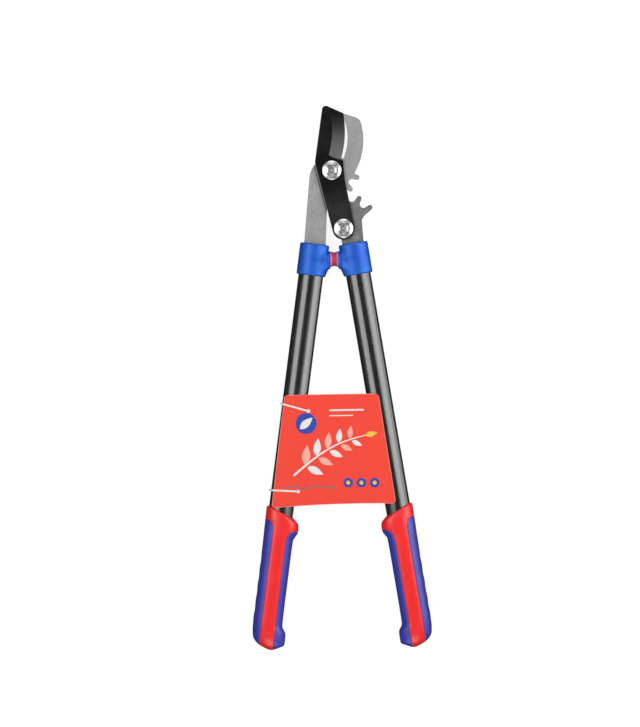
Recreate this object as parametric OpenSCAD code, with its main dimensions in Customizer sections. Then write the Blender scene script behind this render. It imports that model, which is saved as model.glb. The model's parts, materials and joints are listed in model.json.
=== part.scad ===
// Geared bypass lopper, lying closed on its back, in millimetres.
// The origin is the main pivot axis on the resting plane. +Y runs to the blade tip, +X to the
// side of the gear lever and +Z to the front, where the bolt heads are.
// Points on a handle are [v, s]: v outward from the tube's axis, s along it from the apex,
// the point where the axes of both tubes meet.

/* [Pivots] */
// Distance from the main pivot to the gear pivot
pivot_distance = 76.3; // [70:0.1:92]
// Lean of the line between the pivots from straight down, in degrees
pivot_lean = 11.5; // [9:0.5:14]
// Diameter of the smooth shoulder that the levers turn on
shoulder_d = 12; // [10:0.5:14.5]
// Diameter of the thread behind the shoulder
thread_d = 10; // [8:0.5:10]
// Radial clearance of a lever on its shoulder
pivot_clearance = 0.05; // [0.02:0.01:0.1]
// Clearance between plates that slide on each other
face_gap = 0.1; // [0.05:0.05:0.3]

/* [Bolts and nuts] */
// Diameter of a bolt head
head_d = 25; // [20:0.5:28]
// Height of a bolt head
head_h = 4.6; // [4:0.1:6]
// Width of the hex socket across its flats
socket_w = 13; // [8:0.5:14]
// Depth of the hex socket
socket_depth = 3.4; // [2:0.1:3.6]
// Width of a nut across its flats
nut_w = 17; // [16:0.5:22]
// Height of a nut with its locking collar
nut_h = 10; // [8:0.5:13]
// Diameter of a washer
washer_d = 24; // [21:0.5:27]
// Thickness of a washer
washer_t = 2; // [1:0.1:3]

/* [Blade] */
// Thickness of the blade plate
blade_t = 4; // [3:0.1:5]
// Reach of the blade's back corner beyond the main pivot
blade_reach = 85.2; // [70:0.1:104]
// Radius of the convex cutting edge
edge_r = 125; // [110:1:150]
// How far the cutting edge stands to the right of the main pivot
edge_x = 17; // [15:0.1:19]
// Width of the ground bevel
bevel_w = 16.5; // [12:0.5:20]
// Thickness left at the cutting edge
edge_t = 0.6; // [0.3:0.1:1.5]
// Height of the throat above the main pivot
throat_y = 14.6; // [12:0.1:17]
// Radius of the boss round the gear pivot
boss_r = 14.4; // [13.5:0.1:15.5]

/* [Levers] */
// Thickness of the lever plates
lever_t = 6; // [4.5:0.1:8]
// Width of the shanks where they enter the ferrules
shank_w = 28; // [24:0.5:29]
// Width of a tang inside its tube
tang_w = 22; // [16:0.5:23]
// Length of a tang inside its tube
tang_len = 58; // [40:1:90]
// How far the hook lever's shank is pressed down below its hub and jaw
shank_step = 0.4; // [0.2:0.1:1]
// How far the hook's inner edge stands to the right of the main pivot
hook_inner_x = 20.4; // [19:0.1:23]
// Radius of the hook's concave inner edge
hook_inner_r = 64.4; // [60:0.2:70]
// Radius of the hook's outer edge
hook_outer_r = 82; // [78:0.5:90]
// How far the hook's outer edge stands to the right of the main pivot
hook_outer_x = 40.8; // [38:0.1:46]
// Radius of the hook's outer top corner
hook_corner_r = 9.5; // [6:0.5:12]

/* [Gear teeth] */
// Teeth on a full wheel of the hook lever's pitch
hook_wheel = 12; // [11:1:13]
// Teeth on a full wheel of the gear lever's pitch
gear_wheel = 15; // [14:1:16]
// Angle of the hook lever's first tooth below the +X axis
first_tooth = 15; // [14:0.5:16]
// Width of a tooth at its round tip
tooth_w = 6.4; // [5.5:0.1:7]
// Width of a tooth at its foot, between the valleys
foot_w = 7.2; // [6.6:0.1:8]
// Height of the hook lever's teeth above their pitch circle
hook_addendum = 3.1; // [2.5:0.1:3.5]
// Height of the gear lever's teeth above their pitch circle
gear_addendum = 4.6; // [4:0.1:5]
// Clearance from a tooth tip to the other lever's root
tip_clearance = 3.5; // [2:0.1:4]

/* [Handles] */
// Angle of each handle from the middle line, in degrees
handle_angle = 8.46; // [7:0.1:12]
// Lean of the middle line, in degrees
middle_lean = 1.23; // [0:0.1:3]
// Place of the apex to the right of the main pivot
apex_x = -0.7; // [-3:0.1:3]
// Place of the apex above the main pivot, for a tube 32 wide
apex_y = 70.7; // [66:0.1:75]
// Distance from the gear pivot down to the top of the ferrules
ferrule_drop = 20.4; // [18:0.1:26]
// Width of a tube
tube_w = 32; // [30:0.5:38]
// Thickness of a tube, front to back
tube_t = 19; // [17:0.5:22]
// Radius of a tube's round sides
tube_side_r = 6.5; // [5:0.5:7.5]
// Wall of a tube
tube_wall = 1.5; // [1:0.1:2]
// Length of a tube
tube_len = 494; // [400:1:600]
// Clearance of what is bonded or pressed on a tube or in it
seat_clearance = 0.05; // [0.02:0.01:0.1]

/* [Ferrules and bumpers] */
// Length of a ferrule
ferrule_len = 41; // [36:0.5:50]
// Wall of a ferrule
ferrule_wall = 2.9; // [2:0.1:4]
// Thickness of a ferrule's lid over the end of the tube
ferrule_lid = 4; // [3:0.5:6]
// Diameter of a bumper
bumper_d = 20.4; // [16:0.2:21]
// How far a bumper stands out of its boss
bumper_proud = 5.1; // [3:0.1:6]
// Gap between the closed bumpers
bumper_gap = 0.3; // [0.1:0.1:1]
// Diameter of the pin through tube, plug and tang
pin_d = 6; // [4:0.5:8]
// Distance of the pin from the end of the tube
pin_drop = 28; // [24:0.5:32]

/* [Grips] */
// Length of a grip
grip_len = 183.7; // [150:0.1:221]
// Length of a grip beyond the end of its tube
grip_end = 27.5; // [24:0.5:33]
// Thickness of a grip, front to back
grip_t = 30.2; // [26:0.2:37]
// Depth of the pads in the sleeve
pad_t = 1.6; // [1:0.1:1.8]
// Squareness of a grip's section, where 2 is an ellipse
grip_square = 2.4; // [2.3:0.1:3]

/* [Hang tag] */
// Height of the tag
tag_h = 143.2; // [100:0.2:160]
// Width of the tag at its top
tag_top_w = 120.9; // [100:1:126]
// Width of the tag at its bottom
tag_bottom_w = 160.3; // [130:1:166]
// Thickness of the card
tag_t = 0.6; // [0.4:0.1:1]
// Distance from the top of the grips up to the middle of the tag's bottom edge
tag_lift = 0.8; // [0.5:0.1:60]
// Clearance between the card and the tubes that it lies over
tag_gap = 0.3; // [0.3:0.1:0.6]
// Width of a tie
tie_w = 2.6; // [2:0.1:3.5]
// Thickness of a tie
tie_t = 1.3; // [1:0.1:1.6]

/* [Hidden] */
$fn = 96;
LEFT = -1;
RIGHT = 1;
eps = 0.01;

// Heights of the faces. The grips or the nuts reach down to the resting plane, whichever stand
// farther from the middle of the levers.
mid_z = max(grip_t / 2, lever_t / 2 + face_gap + washer_t + nut_h);
lever_z = mid_z - lever_t / 2;
lever_top = mid_z + lever_t / 2;
washer_z = lever_z - face_gap - washer_t;
nut_z = washer_z - nut_h;
blade_z = lever_top + face_gap;
blade_top = blade_z + blade_t;
tag_z = mid_z + tube_t / 2 + tag_gap;

// Pivots and gear circles
gear_pivot = pivot_distance * [sin(pivot_lean), -cos(pivot_lean)];
hook_pitch_r = pivot_distance * hook_wheel / (hook_wheel + gear_wheel);
gear_pitch_r = pivot_distance - hook_pitch_r;
hook_tip_r = hook_pitch_r + hook_addendum;
gear_tip_r = gear_pitch_r + gear_addendum;
hook_root_r = pivot_distance - gear_tip_r - tip_clearance;
gear_root_r = pivot_distance - hook_tip_r - tip_clearance;
hook_step = 360 / hook_wheel;
gear_step = 360 / gear_wheel;
// Radius of the valleys of a wheel, which leave each tooth the width of its foot
function valley_r(root_r, step) = (root_r * sin(step / 2) - foot_w / 2) / (1 - sin(step / 2));
// Hubs round the pivots
hook_hub_r = 18;
gear_hub_r = 13;
// Angle by which the hook lever's third tooth stands past the line between the pivots
mesh_offset = 90 - pivot_lean - first_tooth - 2 * hook_step;
// Angle of the gear lever's gap that this tooth stands in
gear_gap_angle = 90 + pivot_lean - mesh_offset * hook_wheel / gear_wheel;

// Handles
// The apex is given for tubes of the usual width. It moves up the middle line for a wider tube, so
// that the inner sides of the tubes keep their room for the bumpers.
usual_tube_w = 32;
apex = [apex_x, apex_y]
    + (tube_w - usual_tube_w) / 2 / sin(handle_angle) * [-sin(middle_lean), cos(middle_lean)];
gear_pivot_s = (gear_pivot - apex) * handle_along(RIGHT);
ferrule_s = gear_pivot_s + ferrule_drop;
tube_s = ferrule_s + ferrule_lid;
tube_end_s = tube_s + tube_len;
grip_end_s = tube_end_s + grip_end;
grip_s = grip_end_s - grip_len;
stop_s = (ferrule_s + ferrule_len / 2) * cos(handle_angle);
handle_from_stop = stop_s * tan(handle_angle);
// Coverage beyond a face, for cuts that run right through it
past = 5;

// Unit vectors along a handle and outward from it, and a point on it
function handle_turn(side) = side * handle_angle + middle_lean;
function handle_along(side) = [sin(handle_turn(side)), -cos(handle_turn(side))];
function handle_out(side) = side * [cos(handle_turn(side)), sin(handle_turn(side))];
function handle_point(side, v, s) = apex + s * handle_along(side) + v * handle_out(side);
function polar(r, a) = r * [cos(a), sin(a)];
function unit(v) = v / norm(v);

// One rounded corner at q between p and r, as points on its arc
function corner(p, q, r) =
    let (a = unit([p.x - q.x, p.y - q.y]), b = unit([r.x - q.x, r.y - q.y]),
        half = acos(a * b) / 2, middle = unit(a + b) * q.z / sin(half),
        start = a * q.z / tan(half) - middle, stop = b * q.z / tan(half) - middle,
        a0 = atan2(start.y, start.x), turn = atan2(stop.y, stop.x) - a0,
        sweep = turn > 180 ? turn - 360 : turn < -180 ? turn + 360 : turn,
        steps = max(2, ceil(abs(sweep) / 8)))
    [for (i = [0:steps]) [q.x, q.y] + middle + polar(q.z, a0 + sweep * i / steps)];
// Outline of [x, y, corner radius] points
function rounded(points) =
    [for (i = [0:len(points) - 1]) let (n = len(points), q = points[i])
        each q.z == 0 ? [[q.x, q.y]] : corner(points[(i + n - 1) % n], q, points[(i + 1) % n])];
function with_r(p, r) = [p.x, p.y, r];
// Thickness of a shank and its tang
function shank_t(side) = side == LEFT ? lever_t - shank_step : lever_t;

// Coordinates of one handle, mirrored for the left one: +X outward, -Y down the handle
module on_handle(side) {
    translate([apex.x, apex.y, 0]) rotate(handle_turn(side)) mirror_left(side) children();
}
module mirror_left(side) {
    if (side == LEFT) mirror([1, 0, 0]) children();
    else children();
}
// Coordinates of the stop: +X from the middle line to the handle, origin at the bumper's axis
module on_stop(side) {
    translate([apex.x, apex.y, 0]) rotate(middle_lean) translate([0, -stop_s, mid_z])
        mirror_left(side) children();
}
module at_gear_pivot() {
    translate([gear_pivot.x, gear_pivot.y, 0]) children();
}
module plate(z, t) {
    translate([0, 0, z]) linear_extrude(t) children();
}

// Oval section of four arcs, drawn smaller all round by inset
module oval(inset) {
    a = tube_w / 2 - tube_side_r;
    b = tube_t / 2;
    face_r = (a * a + b * b - tube_side_r * tube_side_r) / (2 * (b - tube_side_r));
    reach = a * face_r / (face_r - tube_side_r);
    intersection() {
        translate([0, b - face_r]) circle(face_r - inset);
        translate([0, face_r - b]) circle(face_r - inset);
        square([2 * reach, tube_t], center = true);
    }
    for (x = [-a, a]) translate([x, 0]) circle(tube_side_r - inset);
}
// Oval bar on a handle's axis from one s to another
module oval_bar(inset, s0, s1) {
    translate([0, -s0, mid_z]) rotate([90, 0, 0]) linear_extrude(s1 - s0) oval(inset);
}
// Pin across a handle, front to back, and the hole that it fits
module cross_pin(d, h) {
    translate([0, -tube_s - pin_drop, mid_z - h / 2]) cylinder(h = h, d = d);
}
module pin_hole() {
    cross_pin(pin_d + 2 * seat_clearance, tube_t + 2 * past);
}

// Fasteners
module pivot_bolt() {
    rim_r = 1.6;
    thread_end = 0.5;
    color("gainsboro") difference() {
        union() {
            translate([0, 0, blade_top]) rotate_extrude() {
                square([head_d / 2 - rim_r, head_h]);
                square([head_d / 2, head_h - rim_r]);
                translate([head_d / 2 - rim_r, head_h - rim_r]) circle(rim_r);
            }
            translate([0, 0, washer_z + washer_t])
                cylinder(h = blade_top - washer_z - washer_t, d = shoulder_d);
            translate([0, 0, nut_z + thread_end])
                cylinder(h = washer_z + washer_t - nut_z - thread_end, d = thread_d);
        }
        translate([0, 0, blade_top + head_h - socket_depth])
            cylinder(h = socket_depth + 1, d = socket_w / cos(30), $fn = 6);
    }
}
module thread_bore(h) {
    translate([0, 0, -past]) cylinder(h = h + 2 * past, d = thread_d + 2 * pivot_clearance);
}
module lock_nut() {
    collar_h = 2.2;
    collar_d = nut_w - 1.6;
    body_h = nut_h - collar_h;
    // The hex corners are bevelled on the side of the collar
    bevel_h = 1.2;
    bevel_run = 2.16;
    color("silver") translate([0, 0, nut_z]) difference() {
        union() {
            cylinder(h = collar_h + eps, d = collar_d);
            translate([0, 0, collar_h]) intersection() {
                cylinder(h = body_h, d = nut_w / cos(30), $fn = 6);
                rotate_extrude() polygon([[0, 0], [nut_w / 2, 0], [nut_w / 2 + bevel_run, bevel_h],
                    [nut_w / 2 + bevel_run, body_h], [0, body_h]]);
            }
        }
        thread_bore(nut_h);
    }
}
module washer() {
    color("darkgray") translate([0, 0, washer_z]) difference() {
        cylinder(h = washer_t, d = washer_d);
        thread_bore(washer_t);
    }
}
module pivot_bore() {
    translate([0, 0, lever_z - past])
        cylinder(h = lever_t + blade_t + 2 * past, d = shoulder_d + 2 * pivot_clearance);
}

// Cutting blade: an edge that is an arc, a sloping top, a straight back and a tail that ends in
// the boss round the gear pivot
edge_y = 50;
edge_centre = [edge_x - edge_r, edge_y];
top_fall = 0.435;
back_slope = 0.135;
back_corner = [-11.6, blade_reach];
back_foot_y = 10.8;
back_foot = [back_corner.x - (blade_reach - back_foot_y) * back_slope, back_foot_y];
tip_x = edge_x - 1.2;
tip = [tip_x, blade_reach - top_fall * (tip_x - back_corner.x)];
throat = [14.4, throat_y];
tail_waist = [16.6, -11.5];
tail_left_lean = 15;
tail_right_lean = 11.9;
boss_steps = 60;
module blade_outline() {
    // Edge of the blank, which the arc of the cutting edge then trims
    blank_x = edge_x + 1;
    throat_fall = 40;
    from_a = tail_right_lean;
    turn_a = tail_left_lean - 180 - from_a;
    boss = [for (i = [0:boss_steps]) gear_pivot + polar(boss_r, from_a + turn_a * i / boss_steps)];
    difference() {
        polygon(rounded([with_r(back_corner, 5), with_r(tip, 3.2), [blank_x, edge_y, 0],
            [blank_x, throat_y, 0], with_r(throat, 0), with_r(tail_waist, 30),
            for (p = boss) with_r(p, 0), with_r(back_foot, 8)]));
        difference() {
            translate(throat) rotate(-throat_fall) translate([-edge_r, 0]) square([2 * edge_r, edge_r]);
            translate(edge_centre) circle(edge_r);
        }
    }
}
module cutting_blade() {
    bevel_drop = blade_t - edge_t;
    outer_r = edge_r + past;
    inner_r = edge_r - bevel_w;
    // The bevel runs out above this line, on the way from the back to the throat
    run_out = [[back_corner.x, 23.4], [-3.5, 19.3], [2.6, throat_y + 1.6], [10.1, throat_y - 0.6],
        [edge_r, throat_y - 34], [edge_r, edge_r], [back_corner.x, edge_r]];
    color([0.13, 0.13, 0.14]) difference() {
        plate(blade_z, blade_t) blade_outline();
        intersection() {
            translate([edge_centre.x, edge_centre.y, blade_top]) rotate_extrude($fn = 360)
                polygon([[inner_r, 0], [outer_r, -bevel_drop * (outer_r - inner_r) / bevel_w],
                    [outer_r, past], [inner_r, past]]);
            plate(blade_z - past, blade_t + 2 * past) polygon(run_out);
        }
        pivot_bore();
        at_gear_pivot() pivot_bore();
    }
}

// How deep a tooth's foot is rooted below the valleys
tooth_root = 2;
// Teeth round a centre: a ring of root material with round valleys, and round-tipped fingers
module toothed_sector(root_r, tip_r, step, teeth, valleys, from_a, to_a) {
    valley = valley_r(root_r, step);
    ring_r = root_r + valley;
    half_w = foot_w / 2;
    reach = 3 * ring_r;
    difference() {
        intersection() {
            circle(ring_r);
            polygon([[0, 0], polar(reach, from_a), polar(reach, (from_a + to_a) / 2), polar(reach, to_a)]);
        }
        for (a = valleys) translate(polar(ring_r, a)) circle(valley);
    }
    for (a = teeth) rotate(a) {
        polygon([[root_r - tooth_root, -half_w], [ring_r, -half_w], [tip_r - tooth_w / 2, -tooth_w / 2],
            [tip_r - tooth_w / 2, tooth_w / 2], [ring_r, half_w], [root_r - tooth_root, half_w]]);
        translate([tip_r - tooth_w / 2, 0]) circle(tooth_w / 2);
    }
}
// Corners of a shank's parallel end and tang: the outer ones with edge 1, the inner ones with
// edge -1. The parallel end starts a little above the ferrule.
entry_lead = 1;
function tang(side, edge) =
    let (entry = [edge * shank_w / 2, ferrule_s - entry_lead], shoulder = [edge * shank_w / 2, tube_s],
        neck = [edge * tang_w / 2, tube_s], tip = [edge * tang_w / 2, tube_s + tang_len],
        order = edge * side < 0 ? [entry, shoulder, neck, tip] : [tip, neck, shoulder, entry])
    [for (p = order) with_r(handle_point(side, p[0], p[1]), 0)];

// Hook lever: jaw, hub, teeth, shank and tang in one plate
hook_inner_centre = [hook_inner_x - hook_inner_r, 41.8];
hook_outer_centre = [hook_outer_x - hook_outer_r, 39];
hook_top_fall = 0.333;
hook_top = [15.8, blade_reach - 12];
heel_y = -1;
hub_back = [-13.5, hook_hub_r];
shank_back = [-28, -0.2];
// Centre of the round that touches both the hook's sloping top and its outer edge
function hook_corner_centre() =
    let (along = unit([1, -hook_top_fall]), normal = [-along.y, along.x],
        foot = hook_top - hook_corner_r * normal, out = foot - hook_outer_centre,
        b = out * along, c = out * out - pow(hook_outer_r - hook_corner_r, 2))
    foot + (sqrt(b * b - c) - b) * along;
module hook_jaw() {
    centre = hook_corner_centre();
    normal = unit([hook_top_fall, 1]);
    top_touch = centre + hook_corner_r * normal;
    outer_touch = centre + hook_corner_r * unit(centre - hook_outer_centre);
    difference() {
        union() {
            intersection() {
                translate(hook_outer_centre) circle(hook_outer_r);
                polygon([[0, heel_y], [hook_outer_r, heel_y], [hook_outer_r, outer_touch.y],
                    outer_touch, centre, top_touch, [0, hook_top.y + hook_top_fall * hook_top.x]]);
            }
            translate(centre) circle(hook_corner_r);
        }
        translate(hook_inner_centre) circle(hook_inner_r);
    }
}
module hook_outline() {
    last_tooth = -first_tooth - 3 * hook_step;
    jaw_side = 2;
    tooth_flank = polar(hook_tip_r - tooth_w / 2, last_tooth) + polar(tooth_w / 2, last_tooth + 90);
    hook_jaw();
    circle(hook_hub_r);
    toothed_sector(hook_root_r, hook_tip_r, hook_step, [for (i = [0:3]) -first_tooth - i * hook_step],
        [for (i = [0:2]) -first_tooth - (i + 0.5) * hook_step], last_tooth, jaw_side);
    polygon(rounded([[0, hook_hub_r, 0], with_r(hub_back, 6), with_r(shank_back, 30),
        each tang(LEFT, 1), each tang(LEFT, -1), with_r(tooth_flank, 0), [0, -hook_hub_r, 0]]));
}
module hook_lever() {
    // Distance from the main pivot to the line of the step, along the blade's tail
    step_line = 20;
    // The jaw's inner edge is bevelled on the back
    bevel = 4.5;
    bevel_h = lever_t / 2;
    far = 300;
    color([0.64, 0.65, 0.66]) difference() {
        plate(lever_z, lever_t) hook_outline();
        plate(lever_top - shank_step, far)
            rotate(tail_left_lean) translate([-step_line - far, -far]) square([far, far * 2]);
        intersection() {
            translate([hook_inner_centre.x, hook_inner_centre.y, lever_z]) rotate_extrude($fn = 360)
                polygon([[hook_inner_r - past, -past], [hook_inner_r + bevel, -past],
                    [hook_inner_r + bevel, 0], [hook_inner_r, bevel_h], [hook_inner_r - past, bevel_h]]);
            translate([0, throat_y, 0]) cube([far, far, lever_top]);
        }
        pivot_bore();
        on_handle(LEFT) pin_hole();
    }
}

// Gear lever: hub, teeth, shank and tang in one plate
module gear_outline() {
    teeth = [for (i = [-3:0]) gear_gap_angle + (i + 0.5) * gear_step];
    valley = valley_r(gear_root_r, gear_step);
    low_foot = gear_pivot + polar(gear_root_r - tooth_root, teeth[0]) + polar(foot_w / 2, teeth[0] - 90);
    in_low_foot = gear_pivot + polar(gear_root_r, teeth[0]);
    high_foot = gear_pivot + polar(gear_root_r + valley, teeth[3]) + polar(foot_w / 2, teeth[3] + 90);
    among_teeth = gear_pivot + polar(gear_root_r - valley, (teeth[0] + teeth[3]) / 2);
    hub_side = gear_pivot - [gear_hub_r, 2];
    // Where the shank leaves the hub, on its inner and outer side
    inner_foot = handle_point(RIGHT, -shank_w / 2, gear_pivot_s + 10);
    outer_foot = handle_point(RIGHT, shank_w / 2 + 2.4, gear_pivot_s - 8);
    translate(gear_pivot) {
        circle(gear_hub_r);
        toothed_sector(gear_root_r, gear_tip_r, gear_step, teeth,
            [for (i = [-2:0]) gear_gap_angle + i * gear_step], teeth[0], teeth[3]);
    }
    polygon(rounded([with_r(high_foot, 0), with_r(hub_side, 0), with_r(inner_foot, 0),
        each tang(RIGHT, -1), each tang(RIGHT, 1), with_r(outer_foot, 7), with_r(low_foot, 0),
        with_r(in_low_foot, 0), with_r(among_teeth, 0)]));
}
module gear_lever() {
    color([0.42, 0.42, 0.42]) difference() {
        plate(lever_z, lever_t) gear_outline();
        at_gear_pivot() pivot_bore();
        on_handle(RIGHT) pin_hole();
    }
}

// Tube, plug and pin of one handle
module tube(side) {
    color([0.12, 0.12, 0.13]) on_handle(side) difference() {
        oval_bar(0, tube_s, tube_end_s);
        oval_bar(tube_wall, tube_s - past, tube_end_s + past);
        pin_hole();
    }
}
// Slot for a shank or tang of width w, from the s of its floor to past the s of its mouth
module slot(side, w, floor_s, mouth_s) {
    translate([-w / 2 - seat_clearance, -floor_s, lever_z - seat_clearance])
        cube([w + 2 * seat_clearance, floor_s - mouth_s + past, shank_t(side) + 2 * seat_clearance]);
}
module tang_plug(side) {
    // The plug closes behind the tip of the tang
    end_wall = 4;
    color("dimgray") on_handle(side) difference() {
        oval_bar(tube_wall + seat_clearance, tube_s, tube_s + tang_len + end_wall);
        slot(side, tang_w, tube_s + tang_len + seat_clearance, tube_s);
        pin_hole();
    }
}
module tang_pin(side) {
    // The ends lie a little below the faces of the tube
    sunk = 0.3;
    color("silver") on_handle(side) cross_pin(pin_d, tube_t - 2 * sunk);
}

// Stem of a bumper, in the socket of its boss
stem_len = ferrule_wall - 0.3;
stem_d = bumper_d - 4;
// Ferrule with a lid over the end of the tube and a side boss for the bumper
module ferrule_slice(grow, s, h) {
    translate([0, -s, mid_z]) rotate([90, 0, 0]) linear_extrude(h, $fn = 48) oval(-grow);
}
module ferrule(side) {
    round = 2;
    boss_d = bumper_d + 1.4;
    flare_d = boss_d + 7;
    flare_h = 5;
    flare_z = bumper_proud + 1.2;
    color([0.2, 0.4, 0.85]) difference() {
        union() {
            on_handle(side) hull() {
                ferrule_slice(ferrule_wall - round, ferrule_s, ferrule_len);
                ferrule_slice(ferrule_wall, ferrule_s + round, ferrule_len - 2 * round);
            }
            on_stop(side) rotate([0, 90, 0]) {
                translate([0, 0, bumper_proud]) cylinder(h = handle_from_stop - bumper_proud, d = boss_d);
                translate([0, 0, flare_z]) cylinder(h = flare_h, d1 = boss_d, d2 = flare_d);
            }
        }
        on_handle(side) {
            oval_bar(-seat_clearance, tube_s, ferrule_s + ferrule_len + flare_d);
            slot(side, shank_w, tube_s + eps, ferrule_s);
        }
        on_stop(side) rotate([0, 90, 0]) translate([0, 0, bumper_proud - past])
            cylinder(h = stem_len + past + eps, d = stem_d + 2 * seat_clearance);
    }
}
module bumper(side) {
    rim = 1.2;
    color([0.85, 0.15, 0.3]) on_stop(side) rotate([0, 90, 0]) {
        translate([0, 0, bumper_gap / 2]) rotate_extrude() {
            square([bumper_d / 2 - rim, bumper_proud - bumper_gap / 2]);
            translate([0, rim]) square([bumper_d / 2, bumper_proud - bumper_gap / 2 - rim]);
            translate([bumper_d / 2 - rim, rim]) circle(rim);
        }
        translate([0, 0, bumper_proud - eps]) cylinder(h = stem_len, d = stem_d);
    }
}

// Grip form as rings: [distance from the top, slant, how far the outer edge and then the inner
// edge stand out beyond the side of the tube, share of the thickness]
grip_rings = [[6.2, 0.35, 1.6, 1, 0.86], [8.2, 0.34, 3, 4.5, 0.95], [11.5, 0.31, 3, 8.2, 0.98],
    [18, 0.27, 2.9, 9.4, 1], [25, 0.22, 2.7, 9, 1], [31.5, 0.17, 2.6, 6.8, 1],
    [38, 0.12, 2.4, 4.3, 1], [60, 0, 2.1, 4, 1], [100, 0, 2, 4, 1], [147, 0, 2, 4.2, 1],
    [153, 0, 1.9, 6, 1], [159, 0, 1.3, 9.2, 1], [169, 0, -0.4, 9.8, 0.95], [175, 0, -4.4, 9, 0.85],
    [179, 0, -9.8, 5.5, 0.7], [182, 0, -17, 1.5, 0.48], [183.7, 0, -22, -3, 0.25]];
grip_sides = 32;
// The rings above top_end and below bottom_end keep their distance from the nearer end of the
// grip when its length changes, and those between them spread evenly.
table_len = grip_rings[len(grip_rings) - 1][0];
top_end = 50;
bottom_end = 140;
function grip_place(g) = g < top_end ? g : g > bottom_end ? g + grip_len - table_len
    : top_end + (g - top_end) * (1 + (grip_len - table_len) / (bottom_end - top_end));
function power(x, n) = sign(x) * pow(abs(x), n);
function grip_ring(ring, inset) =
    let (outer = tube_w / 2 + ring[2], inner = -tube_w / 2 - ring[3], c = (outer + inner) / 2,
        a = (outer - inner) / 2 - inset, b = ring[4] * grip_t / 2 - inset, e = 2 / grip_square)
    [for (i = [0:grip_sides - 1]) let (t = 360 * i / grip_sides, x = c + a * power(cos(t), e))
        [x, -grip_s - grip_place(ring[0]) + ring[1] * x, mid_z + b * power(sin(t), e)]];
// Faces of a skin over rings of n points, closed at both ends
function ring_faces(rings, n) = concat([[for (i = [0:n - 1]) i]],
    [for (k = [0:rings - 2], i = [0:n - 1]) each let (j = (i + 1) % n, a = k * n, b = a + n)
        [[a + i, b + i, b + j], [a + i, b + j, a + j]]],
    [[for (i = [0:n - 1]) rings * n - 1 - i]]);
module grip_form(inset) {
    points = [for (ring = grip_rings) each grip_ring(ring, inset)];
    polyhedron(points, ring_faces(len(grip_rings), grip_sides), convexity = 4);
}
// Zones of the pads seen from the front: [v beyond the side of the tube, distance from the top of
// the grip, radius], with the outer zone on the outer side and the inner zone on the inner side
outer_zone = [[24, 16, 0], [2.4, 16, 0], [-6, 20, 6], [-9.1, 32, 15], [-9.1, 150, 30],
    [-10.6, 200, 0], [24, 200, 0]];
inner_zone = [[24, 26.5, 0], [9, 27.8, 0], [-1, 31, 8], [-5.1, 44, 14], [-4.3, 148, 30],
    [-3.1, 200, 0], [24, 200, 0]];
module pad_zone(zone, edge) {
    translate([0, -grip_s]) plate(-past, 2 * (mid_z + past))
        polygon(rounded([for (p = zone) [edge * (tube_w / 2 + p[0]), -grip_place(p[1]), p[2]]]));
}
module grip_bore() {
    end_gap = 0.5;
    oval_bar(-seat_clearance, grip_s - tube_w, tube_end_s + end_gap);
}
module grip_sleeve(side) {
    color([0.95, 0.22, 0.22]) on_handle(side) difference() {
        grip_form(0);
        difference() {
            union() {
                pad_zone(outer_zone, 1);
                pad_zone(inner_zone, -1);
            }
            grip_form(pad_t);
        }
        grip_bore();
    }
}
module grip_pad(side, zone, edge) {
    color([0.27, 0.33, 0.78]) on_handle(side) difference() {
        intersection() {
            grip_form(0);
            pad_zone(zone, edge);
        }
        grip_form(pad_t);
        grip_bore();
    }
}

// Hang tag and its ties
tag_corner_r = 5;
// The tag is tied on askew: how far its top and bottom stand to the right of the main pivot, and
// how much their right ends stand higher than their middles
tag_top_shift = -0.3;
tag_bottom_shift = 2.7;
tag_top_rise = 1;
tag_bottom_rise = 3;
tag_bottom_y = apex.y - grip_s * cos(handle_angle) + tag_lift;
tag_top_y = tag_bottom_y + tag_h;
// How far the inside of a tie stands off the tube, at the hole in the tag and at the other side
tie_inner_gap = 2.2;
tie_outer_gap = 0.9;
tie_hole_d = 4.4;
// Ties as [distance along the handle from the apex, turn in the plane]
function tag_s(y) = (apex.y - y) / cos(handle_angle);
ties = [[tag_s(tag_top_y) + 15.6, 8], [tag_s(tag_bottom_y) - 21, -4.5]];
module tag_outline() {
    polygon(rounded([[tag_top_shift - tag_top_w / 2, tag_top_y - tag_top_rise, tag_corner_r],
        [tag_top_shift + tag_top_w / 2, tag_top_y + tag_top_rise, tag_corner_r],
        [tag_bottom_shift + tag_bottom_w / 2, tag_bottom_y + tag_bottom_rise, tag_corner_r],
        [tag_bottom_shift - tag_bottom_w / 2, tag_bottom_y - tag_bottom_rise, tag_corner_r]]));
}
module tie_place(tie) {
    on_handle(LEFT) translate([0, -tie[0], 0]) rotate(tie[1]) children();
}
module hang_tag() {
    hole_v = -tube_w / 2 - tie_inner_gap - tie_t / 2;
    color([1, 0.33, 0.26]) difference() {
        plate(tag_z, tag_t) tag_outline();
        for (tie = ties) tie_place(tie)
            translate([hole_v, 0, tag_z - past]) cylinder(h = tag_t + 2 * past, d = tie_hole_d);
    }
}
// Loop round the tube and through the tag, larger all round by grow
module tie_ring(grow) {
    slack = 0.5;
    low = mid_z - tube_t / 2 - slack - grow;
    high = tag_z + tag_t + slack - tag_gap + grow;
    left = -tube_w / 2 - tie_inner_gap - grow;
    right = tube_w / 2 + tie_outer_gap + grow;
    polygon(rounded([[left, low, 5 + grow], [right, low, 5 + grow], [right, high, 3 + grow],
        [left, high, 0.5 + grow]]));
}
module tag_tie(tie) {
    color("white") tie_place(tie) rotate([90, 0, 0]) linear_extrude(tie_w, center = true)
        difference() {
            tie_ring(tie_t);
            tie_ring(0);
        }
}

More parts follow.
